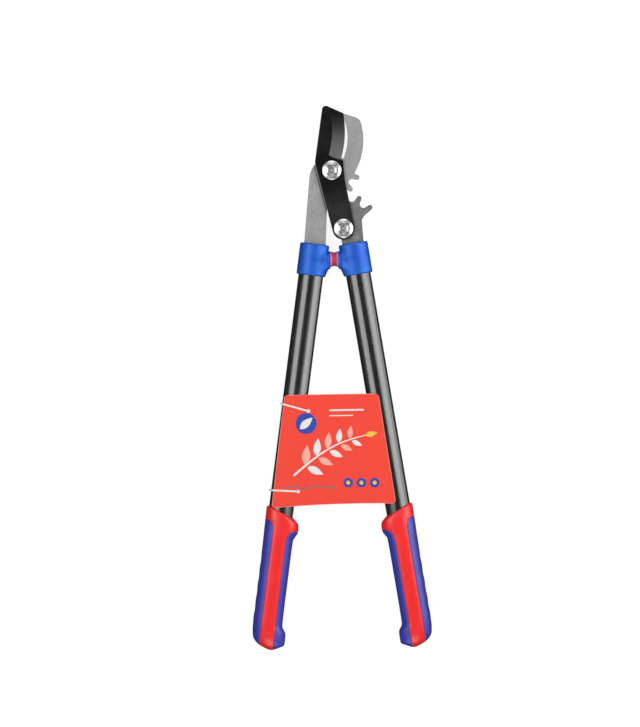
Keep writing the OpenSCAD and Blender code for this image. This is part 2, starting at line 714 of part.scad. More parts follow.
cutting_blade();
pivot_bolt();  // main_pivot_bolt
at_gear_pivot() pivot_bolt();  // gear_pivot_bolt
lock_nut();  // main_pivot_nut
at_gear_pivot() lock_nut();  // gear_pivot_nut
washer();  // main_pivot_washer
at_gear_pivot() washer();  // gear_pivot_washer
hook_lever();
tube(LEFT);  // left_tube
tang_plug(LEFT);  // left_tang_plug
tang_pin(LEFT);  // left_tang_pin
ferrule(LEFT);  // left_ferrule
bumper(LEFT);  // left_bumper
grip_sleeve(LEFT);  // left_grip_sleeve
grip_pad(LEFT, outer_zone, 1);  // left_grip_outer_pad
grip_pad(LEFT, inner_zone, -1);  // left_grip_inner_pad
gear_lever();
tube(RIGHT);  // right_tube
tang_plug(RIGHT);  // right_tang_plug
tang_pin(RIGHT);  // right_tang_pin
ferrule(RIGHT);  // right_ferrule
bumper(RIGHT);  // right_bumper
grip_sleeve(RIGHT);  // right_grip_sleeve
grip_pad(RIGHT, outer_zone, 1);  // right_grip_outer_pad
grip_pad(RIGHT, inner_zone, -1);  // right_grip_inner_pad
hang_tag();
tag_tie(ties[0]);  // upper_tag_tie
tag_tie(ties[1]);  // lower_tag_tie
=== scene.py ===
"""A geared bypass lopper, lying closed on its back with its hang tag, on a pale studio floor.

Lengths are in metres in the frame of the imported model: the origin is the main pivot's axis on the
resting plane, +Y runs to the blade's tip and +Z to the front. Names that end in _MM are in
millimetres.
"""
import json
import math

import bmesh
import bpy
import numpy as np
from mathutils import Matrix, Vector
from mathutils.geometry import delaunay_2d_cdt


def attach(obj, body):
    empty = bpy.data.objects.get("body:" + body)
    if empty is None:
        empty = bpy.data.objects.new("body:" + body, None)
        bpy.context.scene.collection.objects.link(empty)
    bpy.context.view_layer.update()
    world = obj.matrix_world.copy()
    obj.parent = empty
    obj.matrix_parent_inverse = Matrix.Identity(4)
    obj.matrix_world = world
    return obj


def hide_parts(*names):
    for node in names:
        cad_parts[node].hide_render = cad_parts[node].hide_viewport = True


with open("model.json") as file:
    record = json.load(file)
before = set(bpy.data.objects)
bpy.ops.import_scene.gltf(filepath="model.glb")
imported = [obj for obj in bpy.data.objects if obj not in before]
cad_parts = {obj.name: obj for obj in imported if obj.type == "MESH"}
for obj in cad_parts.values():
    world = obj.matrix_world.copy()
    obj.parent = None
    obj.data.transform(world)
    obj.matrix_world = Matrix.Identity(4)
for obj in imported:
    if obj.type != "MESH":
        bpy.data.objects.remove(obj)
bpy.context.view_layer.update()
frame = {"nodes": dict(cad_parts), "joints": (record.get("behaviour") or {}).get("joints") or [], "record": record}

MM = 0.001
TAU = 2 * math.pi
PHOTO_SIZE = (640, 727)

# Pivots and handles
HANDLE_ANGLE = math.radians(8.46)
MIDDLE_LEAN = math.radians(1.23)
APEX_MM = np.array([-0.7, 70.7])
SIDES = {"left": -1, "right": 1}
SHANK_W_MM = 28
TUBE_W_MM = 32
TUBE_T_MM = 19
TUBE_SIDE_R_MM = 6.5
MID_Z_MM = 15.1


def node_points(name):
    """A CAD node's vertices in millimetres, as rows of x, y, z."""
    vertices = frame["nodes"][name].data.vertices
    points = np.empty(len(vertices) * 3)
    vertices.foreach_get("co", points)
    return points.reshape(-1, 3) / MM


def handle_axes(side):
    """Unit vectors outward from a handle's axis and down along it."""
    turn = SIDES[side] * HANDLE_ANGLE + MIDDLE_LEAN
    out = SIDES[side] * np.array([math.cos(turn), math.sin(turn)])
    down = np.array([math.sin(turn), -math.cos(turn)])
    return out, down


def from_handle(side, points):
    """Rows of v, s, z on a handle, in millimetres, as rows of x, y, z."""
    out, down = handle_axes(side)
    points = np.asarray(points, float)
    flat = APEX_MM + points[..., :1] * out + points[..., 1:2] * down
    return np.concatenate([flat, points[..., 2:3]], -1)


def to_handle(side, points):
    """Rows of x, y, z as rows of v, s, z on a handle, in millimetres."""
    out, down = handle_axes(side)
    flat = np.asarray(points)[..., :2] - APEX_MM
    return np.stack([flat @ out, flat @ down, np.asarray(points)[..., 2]], -1)


tube_places = to_handle("left", node_points("left_tube"))[:, 1]
TUBE_TOP_MM = tube_places.min()
TUBE_END_MM = tube_places.max()
MAIN_PIVOT_MM = np.array(frame["joints"][0]["pos_m"][:2]) / MM
GEAR_PIVOT_MM = np.array(frame["joints"][1]["pos_m"][:2]) / MM


# Colours and node materials
def rgb(red, green, blue):
    """A colour as it shows on a screen, from 0 to 255, as linear light."""
    def linear(x):
        x = x / 255
        return x / 12.92 if x <= 0.04045 else ((x + 0.055) / 1.055) ** 2.4
    return (linear(red), linear(green), linear(blue), 1.0)


def grey(level):
    return rgb(level, level, level)


class Finish:
    """A node material around one Principled shader. Sizes of noise are in metres on the piece."""

    def __init__(self, name, **shader):
        self.material = bpy.data.materials.new(name)
        self.material.use_nodes = True
        self.tree = self.material.node_tree
        self.shader = self.tree.nodes["Principled BSDF"]
        for key, value in shader.items():
            self.feed(self.shader.inputs[key.replace("_", " ")], value)
        self.place = self.add("TexCoord").outputs["Object"]

    def feed(self, socket, value):
        if isinstance(value, bpy.types.NodeSocket):
            self.tree.links.new(value, socket)
        else:
            socket.default_value = value

    def add(self, kind, inputs=None, **settings):
        made = self.tree.nodes.new("ShaderNode" + kind)
        for key, value in settings.items():
            setattr(made, key, value)
        for key, value in (inputs or {}).items():
            self.feed(made.inputs[key], value)
        return made

    def turned(self, angle, centre=(0, 0, 0)):
        """The piece's coordinates about a centre, turned in the plane."""
        place = self.add("VectorMath", {0: self.place, 1: centre}, operation="SUBTRACT")
        return self.add("Mapping", {"Vector": place.outputs[0], "Rotation": (0, 0, -angle)}).outputs[0]

    def noise(self, size, detail=2.0, place=None, stretch=(1, 1, 1), roughness=0.5, distortion=0.0):
        scaled = self.add("VectorMath", {0: place or self.place, 1: [1 / s for s in stretch]},
                          operation="MULTIPLY")
        return self.add("TexNoise", {"Vector": scaled.outputs[0], "Scale": 1 / size, "Detail": detail,
                                     "Roughness": roughness, "Distortion": distortion}).outputs["Fac"]

    def ramp(self, value, *stops):
        """Colours at places from 0 to 1 along a value."""
        made = self.add("ValToRGB", {"Fac": value})
        elements = made.color_ramp.elements
        while len(elements) < len(stops):
            elements.new(0.5)
        for element, (position, colour) in zip(elements, stops):
            element.position = position
            element.color = colour
        return made.outputs["Color"]

    def span(self, value, low, high, to_low=0.0, to_high=1.0):
        return self.add("MapRange", {"Value": value, "From Min": low, "From Max": high,
                                     "To Min": to_low, "To Max": to_high}).outputs["Result"]

    def mix(self, factor, first, second, blend="MIX"):
        made = self.add("Mix", {0: factor, 6: first, 7: second}, data_type="RGBA", blend_type=blend)
        return made.outputs[2]

    def bump(self, height, depth, normal=None):
        made = self.add("Bump", {"Height": height, "Distance": depth})
        if normal:
            self.feed(made.inputs["Normal"], normal)
        self.feed(self.shader.inputs["Normal"], made.outputs["Normal"])
        return made.outputs["Normal"]

    def colour(self, value):
        self.feed(self.shader.inputs["Base Color"], value)

    def rough(self, value, low, high):
        self.feed(self.shader.inputs["Roughness"], self.span(value, 0.3, 0.7, low, high))


def blade_coating():
    """Smooth black non-stick coating with a fine orange peel, rubbed a little paler on the tail."""
    f = Finish("blade_coating", Specular_IOR_Level=0.25)
    cloud = f.noise(22 * MM, 3)
    height = f.add("SeparateXYZ", {0: f.place}).outputs["Y"]
    rubbed = f.span(height, -24 * MM, -44 * MM)
    black = f.ramp(cloud, (0.3, grey(10)), (0.75, grey(28)))
    f.colour(f.mix(rubbed, black, f.ramp(cloud, (0.3, grey(28)), (0.75, grey(50)))))
    f.rough(f.noise(3 * MM, 4), 0.26, 0.33)
    f.bump(f.noise(0.5 * MM, 2), 0.015 * MM)
    return f.material


def blade_bevel():
    """Ground steel with grinding lines across the bevel, and a painted reflection that fades from bright near the
    pivot to dark towards the tip.
    """
    f = Finish("blade_bevel", Metallic=0.85)
    height = f.add("SeparateXYZ", {0: f.place}).outputs["Y"]
    lines = f.noise(0.5 * MM, 3, stretch=(40, 1, 1))
    up = f.span(height, 14 * MM, 82 * MM)
    # Painted reflection: the ramp makes the bevel bright near the pivot and nearly black towards the tip
    shade = f.ramp(up, (0.0, grey(116)), (0.3, grey(102)), (0.62, grey(56)), (0.85, grey(20)), (1, grey(16)))
    f.colour(f.mix(0.55, shade, f.ramp(lines, (0.3, grey(120)), (0.7, grey(255))), "MULTIPLY"))
    f.rough(lines, 0.34, 0.46)
    f.bump(lines, 0.01 * MM)
    return f.material


def blasted_steel(name, dark, light, fleck, roughness, step=None):
    """Steel plate with a fine blasted grain, mottled at a larger scale.

    A painted shadow darkens a line along a step, which is given as its turn in the plane and its distance."""
    f = Finish(name, Metallic=0.55)
    mottle = f.noise(1.8 * MM, 5, roughness=0.7)
    patches = f.noise(16 * MM, 3)
    base = f.ramp(mottle, (0.32, dark), (0.68, light))
    base = f.mix(0.5, base, f.ramp(patches, (0.3, grey(fleck)), (0.7, grey(255))), "MULTIPLY")
    if step:
        turn, distance = step
        across = f.add("SeparateXYZ", {0: f.turned(turn)}).outputs["X"]
        off = f.add("Math", {0: across, 1: -distance}, operation="SUBTRACT").outputs[0]
        off = f.add("Math", {0: off}, operation="ABSOLUTE").outputs[0]
        # Painted shadow: a dark line along the step in the lever's face beside the blade
        base = f.mix(f.span(off, 0.2 * MM, 0.7 * MM), grey(44), base)
    f.colour(base)
    f.rough(mottle, roughness - 0.05, roughness + 0.05)
    f.bump(f.noise(0.35 * MM, 3), 0.012 * MM)
    return f.material


def cut_edge(name, shade):
    """Side wall of a laser-cut plate: darker, with fine lines through the thickness. On the gear lever it also
    covers the rounded rims, where its dark tone is painted shade along the outline.
    """
    f = Finish(name, Metallic=0.6)
    lines = f.noise(0.5 * MM, 3, stretch=(1, 1, 12))
    f.colour(f.ramp(lines, (0.3, grey(shade - 10)), (0.7, grey(shade + 14))))
    f.rough(lines, 0.4, 0.55)
    f.bump(lines, 0.02 * MM)
    return f.material


def polished(name, low, high, roughness, turning=0.02):
    """Plated metal with faint turning marks."""
    f = Finish(name, Metallic=1.0)
    marks = f.noise(1.5 * MM, 3)
    f.colour(f.ramp(marks, (0.3, grey(low)), (0.7, grey(high))))
    f.rough(f.noise(3 * MM, 3), roughness, roughness + 0.06)
    f.bump(marks, turning * 0.05 * MM)
    return f.material


def nylon_ring():
    f = Finish("nut_nylon", Roughness=0.5)
    f.colour(f.ramp(f.noise(1.5 * MM, 3), (0.3, rgb(60, 110, 190)), (0.7, rgb(74, 124, 204))))
    return f.material


def tube_paint():
    """Gloss black paint on drawn tube: a slight orange peel and faint lengthwise draw lines."""
    f = Finish("tube_paint", IOR=2.05)
    f.colour(f.ramp(f.noise(30 * MM, 3), (0.3, grey(10)), (0.7, grey(16))))
    f.rough(f.noise(12 * MM, 3), 0.2, 0.24)
    f.bump(f.noise(2.5 * MM, 2), 0.002 * MM)
    return f.material


def moulded(name, dark, light, roughness, grain, depth, **shader):
    """Moulded plastic or rubber: slight colour drift and a fine grain."""
    f = Finish(name, **shader)
    drift = f.noise(24 * MM, 3)
    f.colour(f.ramp(drift, (0.3, dark), (0.7, light)))
    f.rough(f.noise(4 * MM, 4), roughness - 0.04, roughness + 0.05)
    f.bump(f.noise(grain, 2, roughness=0.6), depth)
    return f.material


def printed(name, colour, strength=0.03):
    """Ink or card stock: a faint paper grain."""
    f = Finish(name, Roughness=0.45)
    fibres = f.noise(0.8 * MM, 4, roughness=0.6)
    deeper = tuple(c * (1 - 3 * strength) for c in colour[:3]) + (1.0,)
    f.colour(f.ramp(fibres, (0.3, deeper), (0.7, colour)))
    f.bump(fibres, strength * MM)
    return f.material


def floor_paint():
    """A white table lit from below, so that its shadows stay faint, which reflects as a dark one."""
    f = Finish("floor", Roughness=0.9, Specular_IOR_Level=0.0, Emission_Color=grey(255))
    seen = f.add("LightPath").outputs["Is Camera Ray"]
    f.colour(f.mix(seen, grey(92), grey(140)))
    f.feed(f.shader.inputs["Emission Strength"], f.span(seen, 0, 1, 0.0, 0.88))
    return f.material


PAINTS = {
    "blade_coating": blade_coating(),
    "blade_bevel": blade_bevel(),
    # The hook steel carries a painted shadow along the step beside the blade
    "hook_steel": blasted_steel("hook_steel", grey(146), grey(186), 214, 0.55,
                                step=(math.radians(15), 20.3 * MM)),
    "hook_edge": cut_edge("hook_edge", 120),
    "gear_steel": blasted_steel("gear_steel", grey(104), grey(156), 190, 0.5),
    # Near-black gear edge: on the gear lever's rounded rims this is painted shade along its outline
    "gear_edge": cut_edge("gear_edge", 36),
    "bolt_chrome": polished("bolt_chrome", 196, 212, 0.27, 0.01),
    "nut_zinc": polished("nut_zinc", 168, 190, 0.3, 0.05),
    "nut_nylon": nylon_ring(),
    "tube_paint": tube_paint(),
    "plug_plastic": moulded("plug_plastic", grey(48), grey(60), 0.5, 0.6 * MM, 0.03 * MM),
    "pin_steel": polished("pin_steel", 170, 195, 0.28, 0.05),
    "ferrule_blue": moulded("ferrule_blue", rgb(20, 84, 196), rgb(30, 106, 210), 0.4, 1.2 * MM, 0.006 * MM,
                            Metallic=0.3),
    "bumper_red": moulded("bumper_red", rgb(184, 48, 84), rgb(198, 58, 96), 0.42, 0.5 * MM, 0.02 * MM),
    "bumper_rim": moulded("bumper_rim", rgb(188, 118, 176), rgb(200, 132, 188), 0.42, 0.5 * MM, 0.01 * MM),
    "grip_red": moulded("grip_red", rgb(246, 34, 36), rgb(251, 42, 42), 0.33, 0.6 * MM, 0.015 * MM,
                        Specular_IOR_Level=0.65),
    "pad_blue": moulded("pad_blue", rgb(48, 53, 166), rgb(56, 62, 180), 0.46, 0.45 * MM, 0.03 * MM,
                        Specular_IOR_Level=0.95),
    "tag_card": printed("tag_card", rgb(250, 68, 49)),
    "tag_rim": printed("tag_rim", rgb(250, 150, 136)),
    "print_white": printed("print_white", rgb(236, 232, 230), 0.01),
    "print_pink": printed("print_pink", rgb(248, 176, 160), 0.01),
    "print_blue": printed("print_blue", rgb(40, 70, 170), 0.01),
    "print_yellow": printed("print_yellow", rgb(240, 200, 70), 0.01),
    "print_grey": printed("print_grey", rgb(120, 116, 118), 0.01),
    "tie_white": moulded("tie_white", grey(222), grey(232), 0.5, 0.4 * MM, 0.02 * MM),
}


# Meshes
def add_object(name, mesh):
    made = bpy.data.objects.new(name, mesh)
    bpy.context.scene.collection.objects.link(made)
    return made


def finish_mesh(mesh, sharp_angle):
    """Merges doubles, points the normals outward and keeps the edges sharper than an angle."""
    bm = bmesh.new()
    bm.from_mesh(mesh)
    bmesh.ops.remove_doubles(bm, verts=bm.verts, dist=0.002 * MM)
    bmesh.ops.dissolve_degenerate(bm, edges=bm.edges, dist=0.002 * MM)
    bmesh.ops.recalc_face_normals(bm, faces=bm.faces)
    for face in bm.faces:
        face.smooth = True
    for edge in bm.edges:
        edge.smooth = not edge.is_manifold or edge.calc_face_angle(0) < sharp_angle
    bm.to_mesh(mesh)
    bm.free()


def piece(name, points_mm, faces, paints, body, nodes=(), sharp=50, face_paints=None):
    """A new piece from points in millimetres, which rides on a body and stands for CAD nodes."""
    mesh = bpy.data.meshes.new(name)
    mesh.from_pydata([tuple(p * MM for p in point) for point in points_mm], [], [tuple(f) for f in faces])
    for paint in paints:
        mesh.materials.append(PAINTS[paint])
    if face_paints is not None:
        mesh.polygons.foreach_set("material_index", face_paints)
    finish_mesh(mesh, math.radians(sharp))
    made = add_object(name, mesh)
    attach(made, body)
    if nodes:
        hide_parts(*nodes)
    return made


def strip_faces(rows, columns, start=0, closed=True):
    """Quads between rows of points, where each row is closed into a ring or left open."""
    faces = []
    for k in range(rows - 1):
        for i in range(columns if closed else columns - 1):
            j = (i + 1) % columns
            a = start + k * columns
            faces.append((a + i, a + j, a + columns + j, a + columns + i))
    return faces


def ring_caps(rows, columns, start=0):
    """The two faces that close a stack of rings."""
    last = start + (rows - 1) * columns
    return [tuple(range(start, start + columns))[::-1], tuple(range(last, last + columns))]


def smooth_curve(places, values):
    """A smooth line through given values that doesn't swing past them between places."""
    x, y = np.asarray(places, float), np.asarray(values, float)
    h, slope = np.diff(x), np.diff(y) / np.diff(x)
    inner = np.where(slope[:-1] * slope[1:] > 0,
                     (h[:-1] + h[1:]) / ((h[:-1] + 2 * h[1:]) / np.where(slope[:-1] == 0, 1, slope[:-1]) / 3
                                         + (2 * h[:-1] + h[1:]) / np.where(slope[1:] == 0, 1, slope[1:]) / 3),
                     0)
    tangent = np.concatenate([[slope[0]], inner, [slope[-1]]])

    def at(q):
        q = np.clip(q, x[0], x[-1])
        k = np.clip(np.searchsorted(x, q) - 1, 0, len(h) - 1)
        t = (q - x[k]) / h[k]
        return ((2 * t ** 3 - 3 * t ** 2 + 1) * y[k] + (t ** 3 - 2 * t ** 2 + t) * h[k] * tangent[k]
                + (3 * t ** 2 - 2 * t ** 3) * y[k + 1] + (t ** 3 - t ** 2) * h[k] * tangent[k + 1])
    return at


# Steel plates: copies of the CAD plates with rounded rims
def plate(node, paints, body, rim_mm, paint_of, rim_paint=-1, sharp=9):
    """A copy of a plate whose rims are rounded and whose faces are painted by their direction."""
    name = node + ".finished"
    mesh = frame["nodes"][node].data.copy()
    mesh.name = name
    mesh.materials.clear()
    for paint in paints:
        mesh.materials.append(PAINTS[paint])
    bm = bmesh.new()
    bm.from_mesh(mesh)
    bmesh.ops.remove_doubles(bm, verts=bm.verts, dist=0.001 * MM)
    bmesh.ops.dissolve_limit(bm, angle_limit=math.radians(0.5), verts=bm.verts, edges=bm.edges)
    for face in bm.faces:
        face.smooth = True
        face.material_index = paint_of(face)
    for edge in bm.edges:
        edge.smooth = not edge.is_manifold or edge.calc_face_angle(0) < math.radians(sharp)
    bm.to_mesh(mesh)
    bm.free()
    if mesh.has_custom_normals:
        mesh.normals_split_custom_set([(0, 0, 0)] * len(mesh.loops))
    made = add_object(name, mesh)
    rim = made.modifiers.new("rim", "BEVEL")
    rim.width = rim_mm * MM
    rim.segments = 3
    rim.material = rim_paint
    rim.limit_method = "ANGLE"
    rim.angle_limit = math.radians(40)
    rim.use_clamp_overlap = True
    rim.harden_normals = True
    rim.miter_outer = "MITER_ARC"
    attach(made, body)
    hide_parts(node)
    return made


def make_plates():
    upright = 0.5
    flat = 0.99995

    def blade_paint(face):
        return 1 if upright < face.normal.z < flat else 0

    def edge_paint(face):
        return 1 if abs(face.normal.z) < upright else 0

    plate("cutting_blade", ["blade_coating", "blade_bevel"], "blade_link", 0.35, blade_paint)
    plate("hook_lever", ["hook_steel", "hook_edge"], "left_handle", 0.5, edge_paint)
    # Its rims take the dark edge paint: painted shade along the gear lever's outline
    plate("gear_lever", ["gear_steel", "gear_edge"], "right_handle", 1.0, edge_paint, rim_paint=1)


# Turned and hexagonal fasteners
HEX_COLUMNS = 96


def turned_rings(centre_mm, rings):
    """Rings of [z, radius, half width across the flats or None], in millimetres, about a pivot."""
    angles = np.arange(HEX_COLUMNS) * TAU / HEX_COLUMNS
    across = np.cos((angles + math.pi / 6) % (math.pi / 3) - math.pi / 6)
    points = []
    for z, radius, flats in rings:
        reach = np.full(HEX_COLUMNS, float(radius)) if flats is None else np.minimum(radius, flats / across)
        points += [(centre_mm[0] + r * math.cos(a), centre_mm[1] + r * math.sin(a), z)
                   for r, a in zip(reach, angles)]
    return points


def make_bolt(node, body, centre_mm):
    """Domed bolt head with a grooved face and a countersunk hex socket, its shoulder and its thread."""
    z = node_points(node)[:, 2]
    top, thread_end = z.max(), z.min()
    head_bottom = top - 4.6
    nut_top = 12.0
    head_r, shoulder_r, thread_r = 12.5, 6.0, 5.0
    socket, socket_corner_r = 6.2, 7.0
    rings = [[thread_end, 0.01, None], [thread_end, thread_r - 0.9, None], [thread_end + 0.9, thread_r, None],
             [nut_top, thread_r, None], [nut_top, shoulder_r, None], [head_bottom, shoulder_r, None],
             [head_bottom, head_r - 0.5, None], [head_bottom + 0.5, head_r, None],
             [top - 1.9, head_r, None], [top - 1.5, head_r - 0.08, None]]
    # The dome falls away from the lip of the socket, more steeply towards the rim
    lip_r, groove_r = 8.0, 9.7
    for r in (12.2, 11.8, 11.3, 10.8, 10.3, groove_r + 0.25, groove_r, groove_r - 0.2, 9.2, 8.8, 8.4, lip_r):
        groove = 0.3 if r == groove_r else 0.0
        rings.append([top - 0.2 * (r - lip_r) - 0.025 * (r - lip_r) ** 2 - groove, r, None])
    rings += [[top - 0.12, lip_r - 0.25, None], [top - 0.9, socket_corner_r, socket],
              [top - 1.0, socket_corner_r, socket - 0.08], [top - 1.8, socket_corner_r, socket - 0.08],
              [top - 1.95, socket_corner_r - 0.3, socket - 0.4], [top - 2.12, 5.0, None], [top - 2.78, 1.6, None],
              [top - 2.75, 1.2, None], [top - 2.6, 0.7, None], [top - 2.52, 0.3, None], [top - 2.5, 0.01, None]]
    points = turned_rings(centre_mm, rings)
    faces = strip_faces(len(rings), HEX_COLUMNS) + ring_caps(len(rings), HEX_COLUMNS)
    piece(node + ".finished", points, faces, ["bolt_chrome"], body, [node], sharp=35)


def make_nut(node, body, centre_mm):
    """Lock nut with a crimped collar round a nylon ring."""
    z = node_points(node)[:, 2]
    back, front = z.min(), z.max()
    collar_h, collar_r, flats, bore = 2.2, 7.7, 8.5, 5.05
    corner_r = flats / math.cos(math.pi / 6)
    steel = [[back + 0.9, 6.7, None], [back + 0.25, 6.75, None], [back, 7.0, None], [back + 0.1, 7.35, None],
             [back + 0.5, 7.65, None], [back + 1.0, collar_r, None], [back + collar_h, collar_r, None],
             [back + collar_h, flats - 0.35, None], [back + collar_h + 0.15, flats, flats],
             [back + collar_h + 1.0, corner_r - 0.25, flats], [back + collar_h + 1.25, corner_r, flats],
             [front - 1.0, corner_r, flats], [front - 0.75, corner_r - 0.25, flats], [front, flats - 0.2, flats],
             [front, bore + 0.5, None], [front - 0.5, bore, None], [back + 2.6, bore, None],
             [back + 2.6, 6.7, None]]
    nylon = [[back + 2.5, bore, None], [back + 0.55, bore, None], [back + 0.3, bore + 0.3, None],
             [back + 0.3, 6.4, None], [back + 0.5, 6.65, None], [back + 2.5, 6.65, None]]
    points, faces, paints = [], [], []
    for index, rings in enumerate([steel, nylon]):
        start = len(points)
        points += turned_rings(centre_mm, rings)
        closing = strip_faces(len(rings), HEX_COLUMNS, start)
        last = start + (len(rings) - 1) * HEX_COLUMNS
        for i in range(HEX_COLUMNS):
            j = (i + 1) % HEX_COLUMNS
            closing.append((last + i, last + j, start + j, start + i))
        faces += closing
        paints += [index] * len(closing)
    piece(node + ".finished", points, faces, ["nut_zinc", "nut_nylon"], body, [node], sharp=35,
          face_paints=paints)


def make_washer(node, body, centre_mm):
    """Flat washer, stamped: rounded on the back and sharp on the front."""
    z = node_points(node)[:, 2]
    back, front = z.min(), z.max()
    bore, rim = 5.05, 12.0
    rings = [[back, bore + 0.3, None], [back, rim - 0.7, None], [back + 0.2, rim - 0.2, None],
             [back + 0.7, rim, None], [front - 0.15, rim, None], [front, rim - 0.15, None],
             [front, bore + 0.15, None], [front - 0.15, bore, None], [back + 0.3, bore, None],
             [back, bore + 0.3, None]]
    points = turned_rings(centre_mm, rings)
    piece(node + ".finished", points, strip_faces(len(rings), HEX_COLUMNS), ["nut_zinc"], body, [node], sharp=35)


def make_fasteners():
    for pivot, centre, in (("main", MAIN_PIVOT_MM), ("gear", GEAR_PIVOT_MM)):
        for kind, build in (("bolt", make_bolt), ("nut", make_nut), ("washer", make_washer)):
            node = f"{pivot}_pivot_{kind}"
            body = next(b for b, nodes in frame["record"]["behaviour"]["bodies"].items() if node in nodes)
            build(node, body, centre)


# Tubes keep their CAD shape
def paint_cad_nodes():
    for side in SIDES:
        for part, paint in (("tube", "tube_paint"), ("tang_plug", "plug_plastic"), ("tang_pin", "pin_steel")):
            made = frame["nodes"][f"{side}_{part}"]
            made.data.materials.clear()
            made.data.materials.append(PAINTS[paint])


# Ferrules, as a skin round a field of signed distances in millimetres
def oval_distance(v, z, grow=0.0):
    """Distance from the tube's oval of four arcs, made larger all round by grow."""
    a, b = TUBE_W_MM / 2 - TUBE_SIDE_R_MM, TUBE_T_MM / 2
    face_r = (a * a + b * b - TUBE_SIDE_R_MM ** 2) / (2 * (b - TUBE_SIDE_R_MM))
    centre = b - face_r
    v, z = np.abs(v), np.abs(z)
    on_side = (z - centre) * a < v * -centre
    side = np.hypot(v - a, z) - TUBE_SIDE_R_MM
    face = np.hypot(v, z - centre) - face_r
    return np.where(on_side, side, face) - grow


def smooth_min(a, b, k):
    h = np.maximum(k - np.abs(a - b), 0) / k
    return np.minimum(a, b) - h * h * k / 4


def smooth_max(a, b, k):
    return -smooth_min(-a, -b, k)


def smooth_step(x, low, high):
    t = np.clip((x - low) / (high - low), 0, 1)
    return t * t * (3 - 2 * t)


def ferrule_field(points):
    """Signed distance from a ferrule, at points [v, s, z] on its handle."""
    wall, length, lid, rim = 2.9, 41.0, 4.0, 2.0
    boss_r, boss_face, slot_h = 10.9, 5.1, 6.1
    v, s, z = points[..., 0], points[..., 1], points[..., 2] - MID_Z_MM
    top = TUBE_TOP_MM - lid
    along = np.abs(s - top - length / 2) - length / 2
    across = oval_distance(v, z, wall)
    qa, qb = across + rim, along + rim
    body = np.minimum(np.maximum(qa, qb), 0) + np.hypot(np.maximum(qa, 0), np.maximum(qb, 0)) - rim
    # The boss stands out to the middle line: u is the distance from that line and w the way along it
    stop = (top + length / 2) * math.cos(HANDLE_ANGLE)
    u = v * math.cos(HANDLE_ANGLE) + s * math.sin(HANDLE_ANGLE)
    w = s * math.cos(HANDLE_ANGLE) - v * math.sin(HANDLE_ANGLE) - stop
    from_axis = np.hypot(w, z)
    boss_root = -5.0
    neck_r, neck_u = 9.4, 8.6
    waist = neck_r + (boss_r - neck_r) * smooth_step(u, neck_u - 0.5, neck_u + 0.9)
    collar = smooth_step(u, boss_face + 0.6, boss_face + 1.2)
    radius = boss_r + (waist - boss_r) * collar
    boss = smooth_max(from_axis - radius, v - boss_root, 3.0)
    # It meets the ferrule in a short round above and in a long one below
    low_blend, high_blend = 1.8, 13.0
    lower_side = smooth_step(w / np.maximum(from_axis, 0.01), 0.45, 0.95)
    blend = low_blend + (high_blend - low_blend) * lower_side
    shape = smooth_min(body, boss, blend)
    shape = smooth_max(shape, boss_face - u, 1.2)
    # Mouth of the tube, slot of the shank and socket of the bumper
    bore = np.maximum(oval_distance(v, z, 0.05), TUBE_TOP_MM - s)
    shape = smooth_max(shape, -bore, 0.8)
    slot = np.maximum(np.abs(v) - SHANK_W_MM / 2 - 0.05, np.abs(z) - slot_h / 2)
    shape = smooth_max(shape, -np.maximum(slot, s - TUBE_TOP_MM - 1), 0.8)
    return smooth_max(shape, -np.maximum(np.hypot(w, z) - 8.25, u - boss_face - 2.65), 0.5)


def skin(field, low, high, step):
    """Points and quads of the surface where a field is zero, on a grid of cubes."""
    axes = [np.arange(a, b + step, step) for a, b in zip(low, high)]
    grid = np.stack(np.meshgrid(*axes, indexing="ij"), -1)
    value = field(grid)
    inside = value < 0
    shape = np.array(value.shape)
    cells = shape - 1
    total = np.zeros((*cells, 3))
    count = np.zeros(cells, int)
    crossings = []
    for axis in range(3):
        first = [slice(None)] * 3
        second = [slice(None)] * 3
        first[axis], second[axis] = slice(0, -1), slice(1, None)
        a, b = value[tuple(first)], value[tuple(second)]
        crossed = inside[tuple(first)] != inside[tuple(second)]
        share = np.where(crossed, a / np.where(crossed, a - b, 1), 0)
        place = grid[tuple(first)].copy()
        place[..., axis] += share * step
        crossings.append((axis, crossed, inside[tuple(first)]))
        others = [k for k in range(3) if k != axis]
        for da in (0, 1):
            for db in (0, 1):
                source = [slice(None)] * 3
                source[others[0]] = slice(da, da + cells[others[0]])
                source[others[1]] = slice(db, db + cells[others[1]])
                hit = crossed[tuple(source)]
                total += np.where(hit[..., None], place[tuple(source)], 0)
                count += hit
    used = count > 0
    index = np.full(cells, -1)
    index[used] = np.arange(used.sum())
    points = total[used] / count[used][:, None]
    faces = []
    for axis, crossed, entering in crossings:
        o1, o2 = [(1, 2), (2, 0), (0, 1)][axis]
        for cell in np.argwhere(crossed):
            if cell[o1] < 1 or cell[o2] < 1 or cell[o1] >= cells[o1] or cell[o2] >= cells[o2]:
                continue
            quad = []
            for d1, d2 in ((0, 0), (-1, 0), (-1, -1), (0, -1)):
                at = cell.copy()
                at[o1] += d1
                at[o2] += d2
                quad.append(int(index[tuple(at)]))
            faces.append(quad if entering[tuple(cell)] else quad[::-1])
    return settle(field, points), faces


def settle(field, points, rounds=4, probe=0.02):
    """Moves points onto the surface where a field is zero."""
    for _ in range(rounds):
        slope = np.stack([(field(points + d) - field(points - d)) / (2 * probe)
                          for d in np.eye(3) * probe], -1)
        size = np.maximum((slope ** 2).sum(-1), 0.2)
        points = points - (field(points) / size)[:, None] * slope
    return points


def make_ferrules():
    step = 0.6
    low = (-24.5, TUBE_TOP_MM - 6, MID_Z_MM - 14)
    high = (20.5, TUBE_TOP_MM + 39.5, MID_Z_MM + 14)
    points, faces = skin(ferrule_field, low, high, step)
    for side in SIDES:
        piece(f"{side}_ferrule.finished", from_handle(side, points), faces, ["ferrule_blue"],
              f"{side}_handle", [f"{side}_ferrule"], sharp=60)


